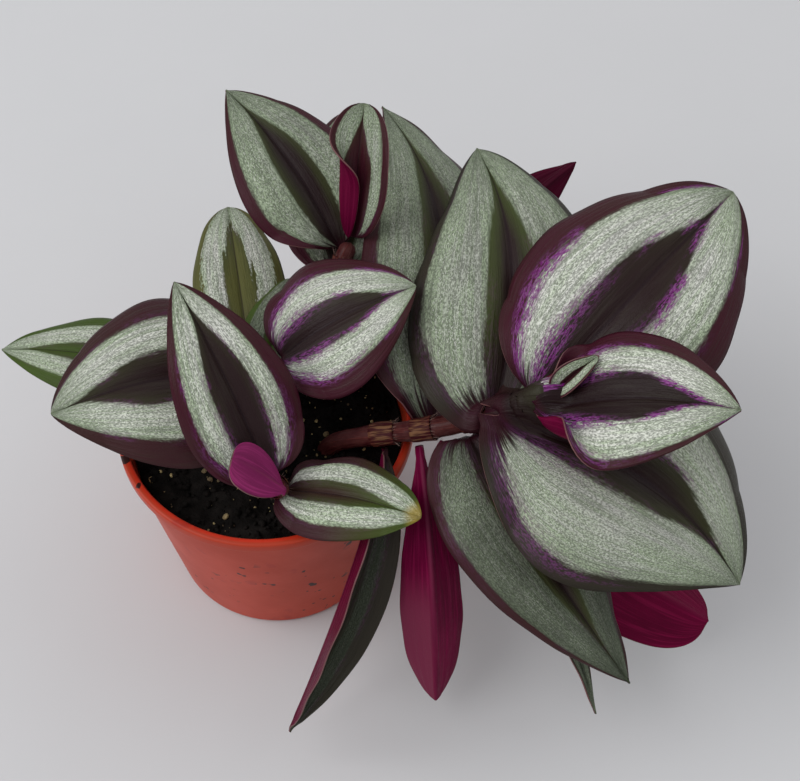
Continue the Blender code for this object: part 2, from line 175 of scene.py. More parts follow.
# A leaf starts at a share of its stem, and its base leaves the stem towards its side or else its heading.
# Its tip lies at its heading, its rise above level and its length. Its sheath is at the same share of the
# stem unless it has one of its own. A name with left_ or right_ before it holds for that half alone.
LEAVES = {
    "leaf_right_1": dict(stem="right", at=0.44, side=-90, heading=-114, rise=-41, length=62, width=17,
                         arch=0.165, sickle=0.07, droop=0.6, roll=60, fold=50, right_fold=57, bend=10, lobe=0,
                         base=0.8, point=1.0, lift=-60),
    "leaf_right_2": dict(stem="right", at=0.56, side=-90, heading=-84, rise=-50, length=55, width=15,
                         arch=0.2, droop=0.7, roll=180, fold=40, bend=10, lobe=0, base=0.8, point=0.5),
    "leaf_right_3": dict(stem="right", at=0.60, side=90, heading=98, rise=8, length=76, width=37, roll=-12,
                         arch=0.10, sickle=-0.09, bend=60, lobe=0, point=1.05),
    "leaf_right_4": dict(stem="right", at=0.66, side=-90, heading=-54, rise=-38, length=63, width=9,
                         arch=0.04, sickle=0.04, fold=40, bend=30, lobe=0, point=1.0),
    "leaf_right_5": dict(stem="right", at=0.72, side=-100, heading=-53, rise=-26, length=56, width=30,
                         arch=0.12, sickle=-0.06, fold=18, bend=60, point=1.05),
    "leaf_right_6": dict(stem="right", at=0.80, sheath=0.76, side=90, heading=93, rise=15, length=56,
                         width=42, arch=0.10, sickle=-0.08, bend=60, lobe=0.11, point=0.9, over=0.3),
    "leaf_right_7": dict(stem="right", at=0.62, side=-90, heading=-19.5, rise=-32.5, length=71, width=24,
                         arch=-0.04, roll=180, bend=10, lobe=0, base=0.9, point=0.4),
    "leaf_right_8": dict(stem="right", at=0.85, side=-70, heading=-31, rise=-17, length=52, width=54,
                         arch=0.12, sickle=0.06, bend=54, lobe=0.11, base=0.6, point=0.92, over=1.5),
    "leaf_right_9": dict(stem="right", at=0.93, side=60, heading=43, rise=20, length=55, width=45, roll=-15,
                         arch=0.10, sickle=-0.03, fold=22, bend=66, lobe=0, base=0.5, point=0.76, over=0.4),
    "leaf_right_10": dict(stem="right", at=0.97, side=-60, heading=-18.5, rise=26, length=37, width=28,
                          roll=-8, arch=0.10, fold=26, right_fold=14, bend=45, right_flap=(0.58, 172, 0.31),
                          left_flap=(0.70, 160, 0.17), base=0.55, point=0.85, lift=-10, over=1.2),
    "leaf_right_bud": dict(stem="right", at=1.0, tip=True, heading=17, rise=48, length=11, width=7, roll=-28,
                           arch=0.05, fold=42, bend=-10, lobe=0),
    "leaf_front_1": dict(stem="front", at=0.75, heading=-21, rise=15, length=29, width=20,
                         fold=18, point=0.7),
    "leaf_front_2": dict(stem="front", at=0.85, heading=123, rise=42, length=41, width=24,
                         arch=0.10, fold=25, lobe=-0.01, point=0.85, clasp=False),
    "leaf_front_bud": dict(stem="front", at=1.0, tip=True, heading=170, rise=44, length=13, width=10.5,
                           roll=178, arch=0.05, fold=8, bend=15, lobe=0, base=0.8, point=0.35),
    "leaf_middle_1": dict(stem="middle", at=0.6, heading=100, rise=5, length=45, width=20,
                          fold=15, bend=40, point=0.6),
    "leaf_middle_2": dict(stem="middle", at=0.7, heading=76, rise=8, length=24, width=14, point=0.7),
    "leaf_middle_3": dict(stem="middle", at=0.85, heading=-162, rise=5, length=39, width=38, roll=12,
                          arch=0.10, fold=18, lobe=-0.01, point=0.8, clasp=False),
    "leaf_middle_4": dict(stem="middle", at=0.98, heading=17, rise=24, length=30, width=30,
                          roll=-10, point=0.8),
    "leaf_back_1": dict(stem="back", at=0.95, heading=129, rise=23, length=40, width=28, roll=-2,
                        sickle=-0.02, fold=25, lobe=-0.02, base=0.5, point=0.95, lift=-10),
    "leaf_back_2": dict(stem="back", at=0.84, heading=86, rise=6, length=42, width=26, point=0.8, lift=-45),
    "leaf_back_bud": dict(stem="back", at=1.0, tip=True, heading=80, rise=57, length=27, width=15.5,
                          fold=25, bend=-10, left_flap=(0.36, 150, 0.66), lobe=0, base=0.5, point=0.45),
    "leaf_far_1": dict(stem="far", at=0.75, heading=128, rise=-8, length=34, width=20, arch=0.12, point=0.9),
    "leaf_far_2": dict(stem="far", at=0.98, heading=39, rise=15, length=31, width=14, roll=160,
                       arch=0.04, fold=30, bend=10, point=0.9),
    "leaf_left_1": dict(stem="left", at=0.98, heading=172, rise=2, length=34, width=21,
                        fold=15, bend=40, point=0.9),
}

# Leaf looks. A name with left_ or right_ before it holds for that half alone.
LEAF_LOOK = {
    "centre": 0.26,  # share of each half's width where the dark stripe by the midrib ends
    "margin": 0.80,  # and where the dark margin starts
    "pale": 0.9,  # brightness of the band
    "tint": 0.25,  # its greenness
    "violet": 0.1,
    "moss": 0.6,  # green of the dark stripe beside the band
    "green": 0.05,  # green of the dark parts towards the tip
    "ragged": 0.09,
    "start": 0.02,
    "middle": (0.020, 0.009, 0.010),
    "edge": (0.040, 0.010, 0.014),
    "tip": (0.19, 0.24, 0.11),
    "tip_start": 0.94,
    "under": None,  # colour of the underside, or none where it has the panel's
    # Painted light: the half named here is paled towards the tip, as the half of the fold that faces the
    # light
    "lit_half": 0,  # half of the underside that is paler towards the tip: 1 is the left one
}
DARK = (0.014, 0.005, 0.006)
OLIVE = (0.026, 0.021, 0.015)
GREEN = (0.046, 0.080, 0.010)
MAROON = (0.045, 0.006, 0.014)
BROWN = (0.034, 0.014, 0.010)
STRAW = (0.095, 0.095, 0.028)
LEAF_LOOKS = {
    "leaf_right_1": dict(pale=-0.4, tint=0.8, centre=0.3, margin=0.6, moss=0.1, middle=OLIVE, edge=OLIVE),
    "leaf_right_2": dict(pale=0.2, centre=0.3, edge=MAROON, under=(0.135, 0.001, 0.032), lit_half=1),
    "leaf_right_3": dict(pale=0.5, tint=0.7, moss=0.9),
    "leaf_right_4": dict(pale=0.2, tint=0.8, middle=OLIVE, edge=OLIVE),
    "leaf_right_5": dict(pale=0.22, tint=0.7, centre=0.24, margin=0.76, right_margin=0.86, moss=0.7),
    "leaf_right_6": dict(pale=0.64, tint=0.5, centre=0.24, margin=0.86, violet=0.12, moss=1.0, edge=OLIVE),
    "leaf_right_7": dict(pale=0.3, edge=MAROON, under=(0.135, 0.0012, 0.030)),
    "leaf_right_8": dict(pale=0.80, tint=0.3, centre=0.24, margin=0.69, right_margin=0.87, violet=0.35,
                         moss=0.4, middle=DARK, edge=OLIVE, left_start=0.25),
    "leaf_right_9": dict(pale=0.95, tint=0.15, centre=0.28, margin=0.72, violet=0.9, moss=0.1, edge=MAROON,
                         right_start=0.3),
    "leaf_right_10": dict(pale=1.0, tint=0.1, centre=0.36, margin=0.72, right_margin=0.88, violet=1.1,
                          moss=0.0, middle=DARK, edge=MAROON),
    "leaf_right_bud": dict(tint=0.5, centre=0.30, margin=0.90, moss=0.2, middle=MAROON, edge=MAROON),
    "leaf_front_1": dict(pale=0.95, tint=0.3, margin=0.72, moss=0.9, green=0.9, middle=BROWN,
                         tip=(0.42, 0.30, 0.05), tip_start=0.86),
    "leaf_front_2": dict(pale=1.0, tint=0.2, centre=0.38, margin=0.70, left_margin=0.78, violet=0.4, moss=0.2,
                         edge=MAROON),
    "leaf_front_bud": dict(pale=0.6, under=(0.22, 0.020, 0.10)),
    "leaf_middle_1": dict(tint=0.15, centre=0.34, middle=STRAW, edge=STRAW, ragged=0.5),
    "leaf_middle_2": dict(pale=0.35, tint=1.0, green=0.6, middle=GREEN, edge=GREEN),
    "leaf_middle_3": dict(pale=0.95, tint=0.2, centre=0.30, margin=0.70, violet=0.2, moss=0.3),
    "leaf_middle_4": dict(pale=1.0, tint=0.15, centre=0.30, margin=0.71, violet=0.8, moss=0.2, edge=MAROON),
    "leaf_back_1": dict(pale=0.62, tint=0.7, centre=0.30, margin=0.82, violet=0.0, middle=DARK, edge=MAROON),
    "leaf_back_2": dict(pale=0.62, tint=0.7, centre=0.30, margin=0.76, violet=0.0, moss=1.0, edge=MAROON),
    "leaf_back_bud": dict(pale=0.75, tint=0.5, centre=0.46, middle=MAROON, edge=MAROON, moss=0.2),
    "leaf_far_1": dict(pale=0.6, tint=0.7, moss=1.0),
    # Painted shade: this leaf's underside colour is darkened because it lies in shadow
    "leaf_far_2": dict(pale=0.3, tint=0.7, edge=MAROON, under=(0.050, 0.001, 0.012)),
    "leaf_left_1": dict(pale=0.95, tint=0.35, centre=0.24, margin=0.70, moss=1.0, green=0.7,
                        middle=GREEN, edge=GREEN),
}
GREEN_LEAVES = {"leaf_front_1", "leaf_left_1", "leaf_middle_1"}

# Colours that all leaves share
DIM_CELLS = (0.050, 0.060, 0.038)
# Painted highlight: near-white sparkle on the band's cells
PAINTED_GLINT = (0.92, 0.93, 0.86)
DULL_BAND = (0.024, 0.028, 0.017)
WORN_MIDDLE = (0.042, 0.036, 0.026)
WORN_EDGE = (0.036, 0.028, 0.018)
MOSS = (0.044, 0.056, 0.016)
FRESH_GREEN = (0.050, 0.082, 0.012)
MIDLINE = (0.014, 0.005, 0.008)
PALE_PINK = (0.8, 0.5, 0.8)
# Painted shade: near-black tint put on the base of every blade, for the shade where it meets the stem
PAINTED_BASE_SHADE = (0.032, 0.003, 0.009)
# Painted light: paler pinkish colour for the half of a folded underside that faces the light
PAINTED_LIT_UNDER = (0.17, 0.022, 0.055)
UNDER_MIDRIB = (0.20, 0.04, 0.08)

# Second colours of the other materials
RIM_SHADE = (0.10, 0.035, 0.035)
STEM_BLUSH = (0.075, 0.020, 0.018)
SHEATH_CREAM = (0.17, 0.080, 0.038)
HAIR_TONES = [(0.22, 0.11, 0.09), (0.40, 0.28, 0.24)]
POT_STAIN = (0.34, 0.020, 0.010)
POT_SPECK = (0.030, 0.006, 0.005)
GRIT_SHADE = (0.10, 0.065, 0.035)

# Patterns on a blade: their cells to a millimetre across it and along it, and their detail
BLADE_GRAINS = {
    "fingers": (0.9, 0.075, 3.0),
    "teeth": (3.0, 0.8, 2.0),
    "flecks": (3.0, 0.9, 2.0),
    "patches": (0.22, 0.10, 1.0),
    "broad": (0.16, 0.06, 2.0),
    "streaks": (1.5, 0.07, 3.0),
    "cells": (4.4, 1.9, 2.0),
    "glints": (5.5, 3.2, 1.0),
    "lines": (2.6, 0.08, 2.0),
    "shade": (1.2, 0.12, 3.0),
    "under lines": (1.8, 0.06, 3.0),
    "under cells": (3.2, 1.3, 1.0),
    "under broad": (0.16, 0.05, 2.0),
}

# Stage, in metres: each light's name, place, size and share of the key light's power
FLOOR_REACH = 4.0
SKY_COLOUR = (0.97, 0.98, 1.0, 1)
LIGHTS = [
    ("key light", (-0.7, -0.2, 0.9), 0.9, 1.0),
    ("fill light", (0.7, 0.6, 1.0), 1.2, 0.35),
]
LIT_PLACE = Vector((0.02, 0, 0.05))
SENSOR_WIDTH = 36


class InchPlantPot(PropertyGroup):
    """Finish of the pot."""

    colour: FloatVectorProperty(
        name="Wall", description="Colour of the pot's wall", subtype="COLOR",
        default=(0.485, 0.044, 0.015), min=0, max=1
    )
    # Painted light: the rim's colour stands for light shining through the thin plastic at its inner edge; the
    # foot is lightened with it too
    rim_glow_and_foot_colour: FloatVectorProperty(
        name="Rim", description="Colour of the thin bright rim", subtype="COLOR",
        default=(0.52, 0.028, 0.008), min=0, max=1
    )
    roughness: FloatProperty(
        name="Roughness", description="Roughness of the plastic", subtype="FACTOR", default=0.42, min=0, max=1
    )
    sides: IntProperty(name="Sides", description="Steps round the pot", default=160, min=32, max=360)


class InchPlantSoil(PropertyGroup):
    """Loose potting mix."""

    crumbs: IntProperty(
        name="Crumbs", description="Number of dark crumbs on the soil", default=900, min=0, max=3000
    )
    grit: IntProperty(
        name="Grit", description="Number of pale grains on the soil", default=220, min=0, max=500
    )
    fibres: IntProperty(
        name="Fibres", description="Number of fine fibres on the soil", default=40, min=0, max=500
    )
    seed: IntProperty(name="Seed", description="Seed that scatters the crumbs", default=7, min=0)
    colour: FloatVectorProperty(
        name="Soil", description="Colour of the moist soil", subtype="COLOR",
        default=(0.0055, 0.0045, 0.0040), min=0, max=1
    )
    grit_colour: FloatVectorProperty(
        name="Grit", description="Colour of the pale grains", subtype="COLOR",
        default=(0.56, 0.44, 0.20), min=0, max=1
    )


class InchPlantStems(PropertyGroup):
    """Fleshy stems with a sheath at each leaf."""

    colour: FloatVectorProperty(
        name="Stem", description="Colour of the stems", subtype="COLOR",
        default=(0.042, 0.004, 0.006), min=0, max=1
    )
    streak_colour: FloatVectorProperty(
        name="Streaks", description="Colour of the pale streaks", subtype="COLOR",
        default=(0.12, 0.022, 0.018), min=0, max=1
    )
    hair_length: FloatProperty(
        name="Hair length", description="Length of the hairs on a sheath's mouth",
        unit="LENGTH", subtype="DISTANCE", default=1.6 * MM, min=0, max=0.01
    )
    hairs: IntProperty(name="Hairs", description="Number of hairs on each sheath", default=26, min=0, max=200)
    seed: IntProperty(name="Seed", description="Seed that varies the hairs", default=11, min=0)


class InchPlantLeaves(PropertyGroup):
    """Blades with silver bands, dark stripes and a purple underside."""

    thickness: FloatProperty(
        name="Thickness", description="Thickness of a blade by its midrib", unit="LENGTH", subtype="DISTANCE",
        default=0.62 * MM, min=0.0001, max=0.002
    )
    margin_thickness: FloatProperty(
        name="Margin", description="Thickness of the margin as a share of the blade's", subtype="FACTOR",
        default=0.45, min=0.1, max=1
    )
    rows: IntProperty(name="Rows", description="Faces along a blade", default=92, min=8, max=200)
    columns: IntProperty(name="Columns", description="Faces across a blade", default=40, min=6, max=100)
    groove: FloatProperty(
        name="Groove", description="Depth of the groove over the midrib", unit="LENGTH", subtype="DISTANCE",
        default=0.3 * MM, min=0, max=0.001
    )
    veins: FloatProperty(
        name="Veins", description="Height of the lengthwise veins", unit="LENGTH", subtype="DISTANCE",
        default=0.035 * MM, min=0, max=0.0005
    )
    silver: FloatVectorProperty(
        name="Silver", description="Colour of the bands' bright cells", subtype="COLOR",
        default=(0.79, 0.79, 0.73), min=0, max=1
    )
    sage: FloatVectorProperty(
        name="Sage", description="Colour of the greener bands", subtype="COLOR",
        default=(0.44, 0.53, 0.36), min=0, max=1
    )
    violet: FloatVectorProperty(
        name="Violet", description="Colour of the flecks beside the bands", subtype="COLOR",
        default=(0.155, 0.006, 0.150), min=0, max=1
    )
    underside: FloatVectorProperty(
        name="Underside", description="Colour of the underside", subtype="COLOR",
        default=(0.10, 0.0015, 0.024), min=0, max=1
    )
    rim: FloatVectorProperty(
        name="Rim line", description="Colour of the thin line on the margin", subtype="COLOR",
        default=(0.20, 0.085, 0.085), min=0, max=1
    )


class InchPlantStage(PropertyGroup):
    """Floor, light and camera."""

    floor_colour: FloatVectorProperty(
        name="Floor", description="Colour of the floor", subtype="COLOR",
        default=(0.60, 0.60, 0.61), min=0, max=1
    )
    sky: FloatProperty(
        name="Sky", description="Strength of the even light from all sides", default=0.62, min=0, max=5
    )
    key: FloatProperty(
        name="Key light", description="Power of the large light on the left", unit="POWER",
        default=7.0, min=0, max=100
    )
    camera_place: FloatVectorProperty(
        name="Camera", description="Place of the camera", unit="LENGTH", subtype="TRANSLATION",
        default=(27.0 * MM, -165.5 * MM, 301.0 * MM)
    )
    camera_tilt: FloatProperty(
        name="Tilt", description="How far the camera looks down from level", subtype="ANGLE",
        default=radians(55.9)
    )
    lens: FloatProperty(
        name="Lens", description="Focal length on a 36 mm sensor", default=67.5, min=10, max=300
    )


# Shader nodes


def node(tree, kind, inputs=None, **settings):
    """Node of a kind, with its settings, and its inputs set or linked by name or number."""
    made = tree.nodes.new(kind)
    for name, value in settings.items():
        setattr(made, name, value)
    for key, value in (inputs or {}).items():
        if isinstance(value, bpy.types.NodeSocket):
            tree.links.new(value, made.inputs[key])
        else:
            made.inputs[key].default_value = value
    return made


def calc(tree, operation, *values):
    """Result of a sum on numbers or sockets."""
    return node(tree, "ShaderNodeMath", dict(enumerate(values)), operation=operation).outputs[0]


def product(tree, first, *others):
    """Product of numbers or sockets."""
    for other in others:
        first = calc(tree, "MULTIPLY", first, other)
    return first


def total(tree, first, *others):
    """Sum of numbers or sockets."""
    for other in others:
        first = calc(tree, "ADD", first, other)
    return first


def scaled(tree, value, by, plus):
    """A value times one number or socket, plus another."""
    return calc(tree, "MULTIPLY_ADD", value, by, plus)


def slope(tree, value, low, high, start=0.0, end=1.0):
    """Smooth rise of a value from start at low to end at high."""
    inputs = {"Value": value, "From Min": low, "From Max": high, "To Min": start, "To Max": end}
    return node(tree, "ShaderNodeMapRange", inputs, interpolation_type="SMOOTHSTEP").outputs[0]


def opaque(colour):
    """Colour with its alpha, or the socket as it is."""
    return colour if isinstance(colour, bpy.types.NodeSocket) else (*colour[:3], 1)


def colour_mix(tree, share, first, second):
    """Colour between two by a share."""
    inputs = {0: share, 6: opaque(first), 7: opaque(second)}
    return node(tree, "ShaderNodeMix", inputs, data_type="RGBA").outputs[2]


def toned(colour, share):
    """Colour made darker or brighter by a share."""
    return [part * share for part in colour]


def grain(tree, place, scale, detail=2.0, stretch=(1, 1, 1)):
    """Noise from 0 to 1 at a place, with its cells stretched."""
    moved = node(tree, "ShaderNodeVectorMath", {0: place, 1: stretch}, operation="MULTIPLY").outputs[0]
    inputs = {"Vector": moved, "Scale": scale, "Detail": detail, "Roughness": 0.55}
    return node(tree, "ShaderNodeTexNoise", inputs).outputs[0]


def blade_grain(tree, flat, name):
    """One of the patterns on a blade, from 0 to 1."""
    across, along, detail = BLADE_GRAINS[name]
    return grain(tree, flat, 1.0, detail, (across, along, 1))


def centred(tree, value):
    """A value that lay between 0 and 1, moved to lie about 0."""
    return calc(tree, "SUBTRACT", value, 0.5)


def object_place(tree):
    """Place on the object."""
    return node(tree, "ShaderNodeTexCoord").outputs["Object"]


def own_map(tree, name):
    """Place on a piece's own map."""
    return node(tree, "ShaderNodeUVMap", uv_map=name).outputs[0]


def shared_group(name, inputs, outputs, build):
    """Node group of that name, built once by a function that returns the sockets for its outputs."""
    tree = bpy.data.node_groups.get(name)
    if tree:
        return tree
    tree = bpy.data.node_groups.new(name, "ShaderNodeTree")
    for kind, sockets in inputs.items():
        for label, default in sockets.items():
            socket = tree.interface.new_socket(label, in_out="INPUT", socket_type=kind)
            if default is not None:
                socket.default_value = default
    for label, kind in outputs.items():
        tree.interface.new_socket(label, in_out="OUTPUT", socket_type=kind)
    entry = tree.nodes.new("NodeGroupInput").outputs
    leave = tree.nodes.new("NodeGroupOutput").inputs
    for label, result in build(tree, entry).items():
        tree.links.new(result, leave[label])
    return tree


def use_group(tree, group, inputs):
    """The outputs of a group placed in a tree."""
    return node(tree, "ShaderNodeGroup", inputs, node_tree=group).outputs


def finish(name, **constants):
    """New material, its tree and its shader, with constants set on the shader's own sockets."""
    made = bpy.data.materials.new(name)
    made.use_nodes = True
    tree = made.node_tree
    shader = tree.nodes["Principled BSDF"]
    for socket, value in constants.items():
        shader.inputs[socket.replace("_", " ")].default_value = value
    return made, tree, shader


def put(tree, shader, colour, roughness, height=None, depth=0.1):
    """Links a colour, a roughness and a height to a shader, with the height's depth in millimetres."""
    tree.links.new(colour, shader.inputs["Base Color"])
    tree.links.new(roughness, shader.inputs["Roughness"])
    if height is not None:
        bump = node(tree, "ShaderNodeBump", {"Height": height, "Distance": depth * MM, "Strength": 1.0})
        tree.links.new(bump.outputs[0], shader.inputs["Normal"])


def blade_place(tree, entry):
    """Place on a blade: its side, its way out to the margin, and millimetres across and along it."""
    parts = node(tree, "ShaderNodeSeparateXYZ", {0: entry["Map"]}).outputs
    side = scaled(tree, parts[0], 2.0, -1.0)
    across = product(tree, side, product(tree, entry["Width"], 0.5))
    along = product(tree, parts[1], entry["Length"])
    flat = node(tree, "ShaderNodeCombineXYZ", {0: across, 1: along, 2: entry["Seed"]}).outputs[0]
    return {"Side": side, "Away": calc(tree, "ABSOLUTE", side), "Share": parts[1], "Flat": flat}


BLADE_PLACE_INPUTS = {
    "NodeSocketVector": {"Map": None},
    "NodeSocketFloat": {"Width": 30.0, "Length": 50.0, "Seed": 0.0},
}
BLADE_PLACE_OUTPUTS = {
    "Side": "NodeSocketFloat",
    "Away": "NodeSocketFloat",
    "Share": "NodeSocketFloat",
    "Flat": "NodeSocketVector",
}


def pale_band(tree, entry, edge_way, broad, streaks, cells):
    """Colour of the band: bright cells between fine dark lines, with painted near-white glints as highlights
    in its middle, greener by its edges and towards the tip.
    """
    glints = slope(tree, blade_grain(tree, entry["Flat"], "glints"), 0.56, 0.70)
    lines = slope(tree, blade_grain(tree, entry["Flat"], "lines"), 0.53, 0.64)
    core = slope(tree, edge_way, 0.0, 0.16)
    tint = total(
        tree,
        scaled(tree, streaks, 0.5, scaled(tree, broad, 1.4, entry["Tint"])),
        slope(tree, core, 0.0, 1.0, 0.22, 0.0),
        slope(tree, entry["Share"], 0.72, 1.0, 0.0, 0.5),
        slope(tree, entry["Away"], 0.45, 0.85, 0.0, 0.3),
    )
    silver = colour_mix(tree, tint, entry["Silver"], entry["Sage"])
    dim = colour_mix(tree, 0.64, silver, DIM_CELLS)
    glitter = colour_mix(tree, cells, dim, silver)
    ruled = colour_mix(tree, product(tree, lines, 0.8), glitter, dim)
    # Painted highlight: near-white glints on the cells, away from the band's edges
    lit = colour_mix(tree, product(tree, glints, core, 0.7), ruled, PAINTED_GLINT)
    dull = colour_mix(tree, 0.94, lit, DULL_BAND)
    return colour_mix(tree, scaled(tree, broad, 0.7, entry["Pale"]), dull, lit)


def dark_parts(tree, entry, inner_way, from_outer, broad):
    """Colour of the stripe and the margin: worn in places, mossy by the band and greener towards the tip."""
    shade = blade_grain(tree, entry["Flat"], "shade")
    worn = slope(tree, scaled(tree, broad, 0.6, shade), 0.38, 0.75, 0.0, 0.28)
    middle = colour_mix(tree, worn, entry["Middle"], WORN_MIDDLE)
    edge = colour_mix(tree, worn, entry["Edge"], WORN_EDGE)
    plain = colour_mix(tree, slope(tree, from_outer, 0.03, -0.03), middle, edge)
    by_band = slope(tree, inner_way, 0.20, 0.0)
    mossy = product(tree, by_band, entry["Moss"], slope(tree, entry["Share"], 0.02, 0.30))
    mossed = colour_mix(tree, mossy, plain, MOSS)
    greening = product(tree, slope(tree, entry["Share"], 0.35, 0.95), entry["Green"])
    greened = colour_mix(tree, greening, mossed, FRESH_GREEN)
    return colour_mix(tree, slope(tree, entry["Away"], 0.035, 0.005, 0.0, 0.6), greened, MIDLINE)


def violet_flecks(tree, entry, edge_way, since):
    """Where violet flecks lie by the band's edges: everywhere by the base, and in patches further on."""
    low = slope(tree, entry["Share"], 0.60, 0.10)
    flecks = slope(tree, blade_grain(tree, entry["Flat"], "flecks"), 0.40, 0.55)
    patchy = slope(tree, blade_grain(tree, entry["Flat"], "patches"), 0.46, 0.64)
    reach = slope(tree, low, 0.0, 1.0, 0.09, 0.16)
    near = calc(tree, "SUBTRACT", 1.0, calc(tree, "DIVIDE", edge_way, reach))
    blush = product(tree, slope(tree, near, 0.0, 0.7), calc(tree, "MAXIMUM", low, patchy))
    return product(tree, blush, slope(tree, since, -0.05, 0.03), flecks, entry["Violet"])


def leaf_bands(tree, entry):
    """Dark stripe, ragged silver band with violet flecks, and dark margin on each half of a blade, with
    painted shade at its base.
    """
    flat, away, share = entry["Flat"], entry["Away"], entry["Share"]
    fingers = centred(tree, blade_grain(tree, flat, "fingers"))
    teeth = centred(tree, blade_grain(tree, flat, "teeth"))
    spread = product(tree, entry["Ragged"], slope(tree, share, 0.0, 0.35, 3.0, 1.0))
    shifted = scaled(tree, scaled(tree, teeth, 0.5, fingers), spread, away)

    inner = product(tree, entry["Centre"], slope(tree, share, 0.5, 1.0, 1.0, 0.0))
    outer = product(tree, entry["Margin"], slope(tree, share, 0.0, 0.30, 0.88, 1.0))
    from_inner = calc(tree, "SUBTRACT", shifted, inner)
    from_outer = calc(tree, "SUBTRACT", outer, shifted)
    inner_way = calc(tree, "ABSOLUTE", from_inner)
    edge_way = calc(tree, "MINIMUM", inner_way, calc(tree, "ABSOLUTE", from_outer))
    since = calc(tree, "SUBTRACT", scaled(tree, fingers, -0.25, share), entry["Start"])
    inside = product(tree, slope(tree, from_inner, -0.02, 0.04), slope(tree, from_outer, -0.02, 0.04))
    band = product(tree, inside, slope(tree, since, 0.0, 0.05))

    broad = centred(tree, blade_grain(tree, flat, "broad"))
    streaks = slope(tree, blade_grain(tree, flat, "streaks"), 0.40, 0.62)
    cells = slope(tree, blade_grain(tree, flat, "cells"), 0.38, 0.60)
    pale = pale_band(tree, entry, edge_way, broad, streaks, cells)
    dark = dark_parts(tree, entry, inner_way, from_outer, broad)
    banded = colour_mix(tree, band, dark, pale)
    pink = colour_mix(tree, 0.14, entry["Violet colour"], PALE_PINK)
    fleck = colour_mix(tree, cells, entry["Violet colour"], pink)
    flecked = colour_mix(tree, violet_flecks(tree, entry, edge_way, since), banded, fleck)
    # Painted shade: the blade darkens towards its base, up to 0.8 over the last twentieth of its length, for
    # the shade by the stem
    base_shaded = colour_mix(tree, slope(tree, share, 0.05, 0.0, 0.0, 0.8), flecked, PAINTED_BASE_SHADE)
    tipped = scaled(tree, away, -0.06, calc(tree, "SUBTRACT", share, entry["Tip start"]))
    colour = colour_mix(tree, slope(tree, tipped, 0.0, 0.08, 0.0, 0.8), base_shaded, entry["Tip"])
    grainy = product(tree, cells, scaled(tree, band, 0.6, 0.2))
    return {"Colour": colour, "Band": band, "Relief": scaled(tree, streaks, 0.6, grainy)}


LEAF_BANDS_INPUTS = {
    "NodeSocketVector": {"Flat": None},
    "NodeSocketFloat": {
        "Away": 0.0,
        "Share": 0.0,
        "Centre": 0.25,
        "Margin": 0.8,
        "Ragged": 0.1,
        "Start": 0.02,
        "Moss": 0.5,
        "Green": 0.0,
        "Violet": 0.0,
        "Pale": 1.0,
        "Tint": 0.2,
        "Tip start": 0.93,
    },
    "NodeSocketColor": {
        "Silver": (0.6, 0.65, 0.6, 1),
        "Sage": (0.3, 0.4, 0.25, 1),
        "Middle": (0.05, 0.03, 0.04, 1),
        "Edge": (0.05, 0.02, 0.03, 1),
        "Violet colour": (0.2, 0.02, 0.2, 1),
        "Tip": (0.2, 0.3, 0.1, 1),
    },
}
LEAF_BANDS_OUTPUTS = {
    "Colour": "NodeSocketColor",
    "Band": "NodeSocketFloat",
    "Relief": "NodeSocketFloat",
}


def leaf_place(tree, leaf, seed):
    """Place on a leaf's blade from its own map."""
    group = shared_group("Place on a blade", BLADE_PLACE_INPUTS, BLADE_PLACE_OUTPUTS, blade_place)
    inputs = {"Map": own_map(tree, "blade"), "Width": leaf["width"], "Length": leaf["length"], "Seed": seed}
    return use_group(tree, group, inputs)


def of_half(values, name, aside):
    """Value of one half of a blade, or of the whole where the half has none of its own."""
    half = "left_" if aside > 0 else "right_"
    return values.get(half + name, values[name])


def by_half(tree, side, look, name):
    """Value of a look on either half of a blade."""
    return slope(tree, side, -0.05, 0.05, of_half(look, name, -1), of_half(look, name, 1))


def leaf_top_material(name, leaf, seed, values):
    """Upper side of a leaf, with its own stripes."""
    look = LEAF_LOOK | LEAF_LOOKS[name]
    made, tree, shader = finish(f"{name} upper side", IOR=1.42, Specular_IOR_Level=0.18)
    place = leaf_place(tree, leaf, seed)
    inputs = {label: place[label] for label in ("Flat", "Away", "Share")}
    inputs["Tip start"] = look["tip_start"]
    for key in ("centre", "ragged", "moss", "green", "violet", "pale", "tint"):
        inputs[key.capitalize()] = look[key]
    for key in ("margin", "start"):
        inputs[key.capitalize()] = by_half(tree, place["Side"], look, key)
    for key in ("middle", "edge", "tip"):
        inputs[key.capitalize()] = opaque(look[key])
    inputs["Silver"] = opaque(values.silver)
    inputs["Sage"] = opaque(values.sage)
    inputs["Violet colour"] = opaque(values.violet)
    group = shared_group("Leaf bands", LEAF_BANDS_INPUTS, LEAF_BANDS_OUTPUTS, leaf_bands)
    bands = use_group(tree, group, inputs)
    roughness = slope(tree, bands["Band"], 0.0, 1.0, 0.36, 0.46)
    put(tree, shader, bands["Colour"], roughness, bands["Relief"], 0.09)
    return made


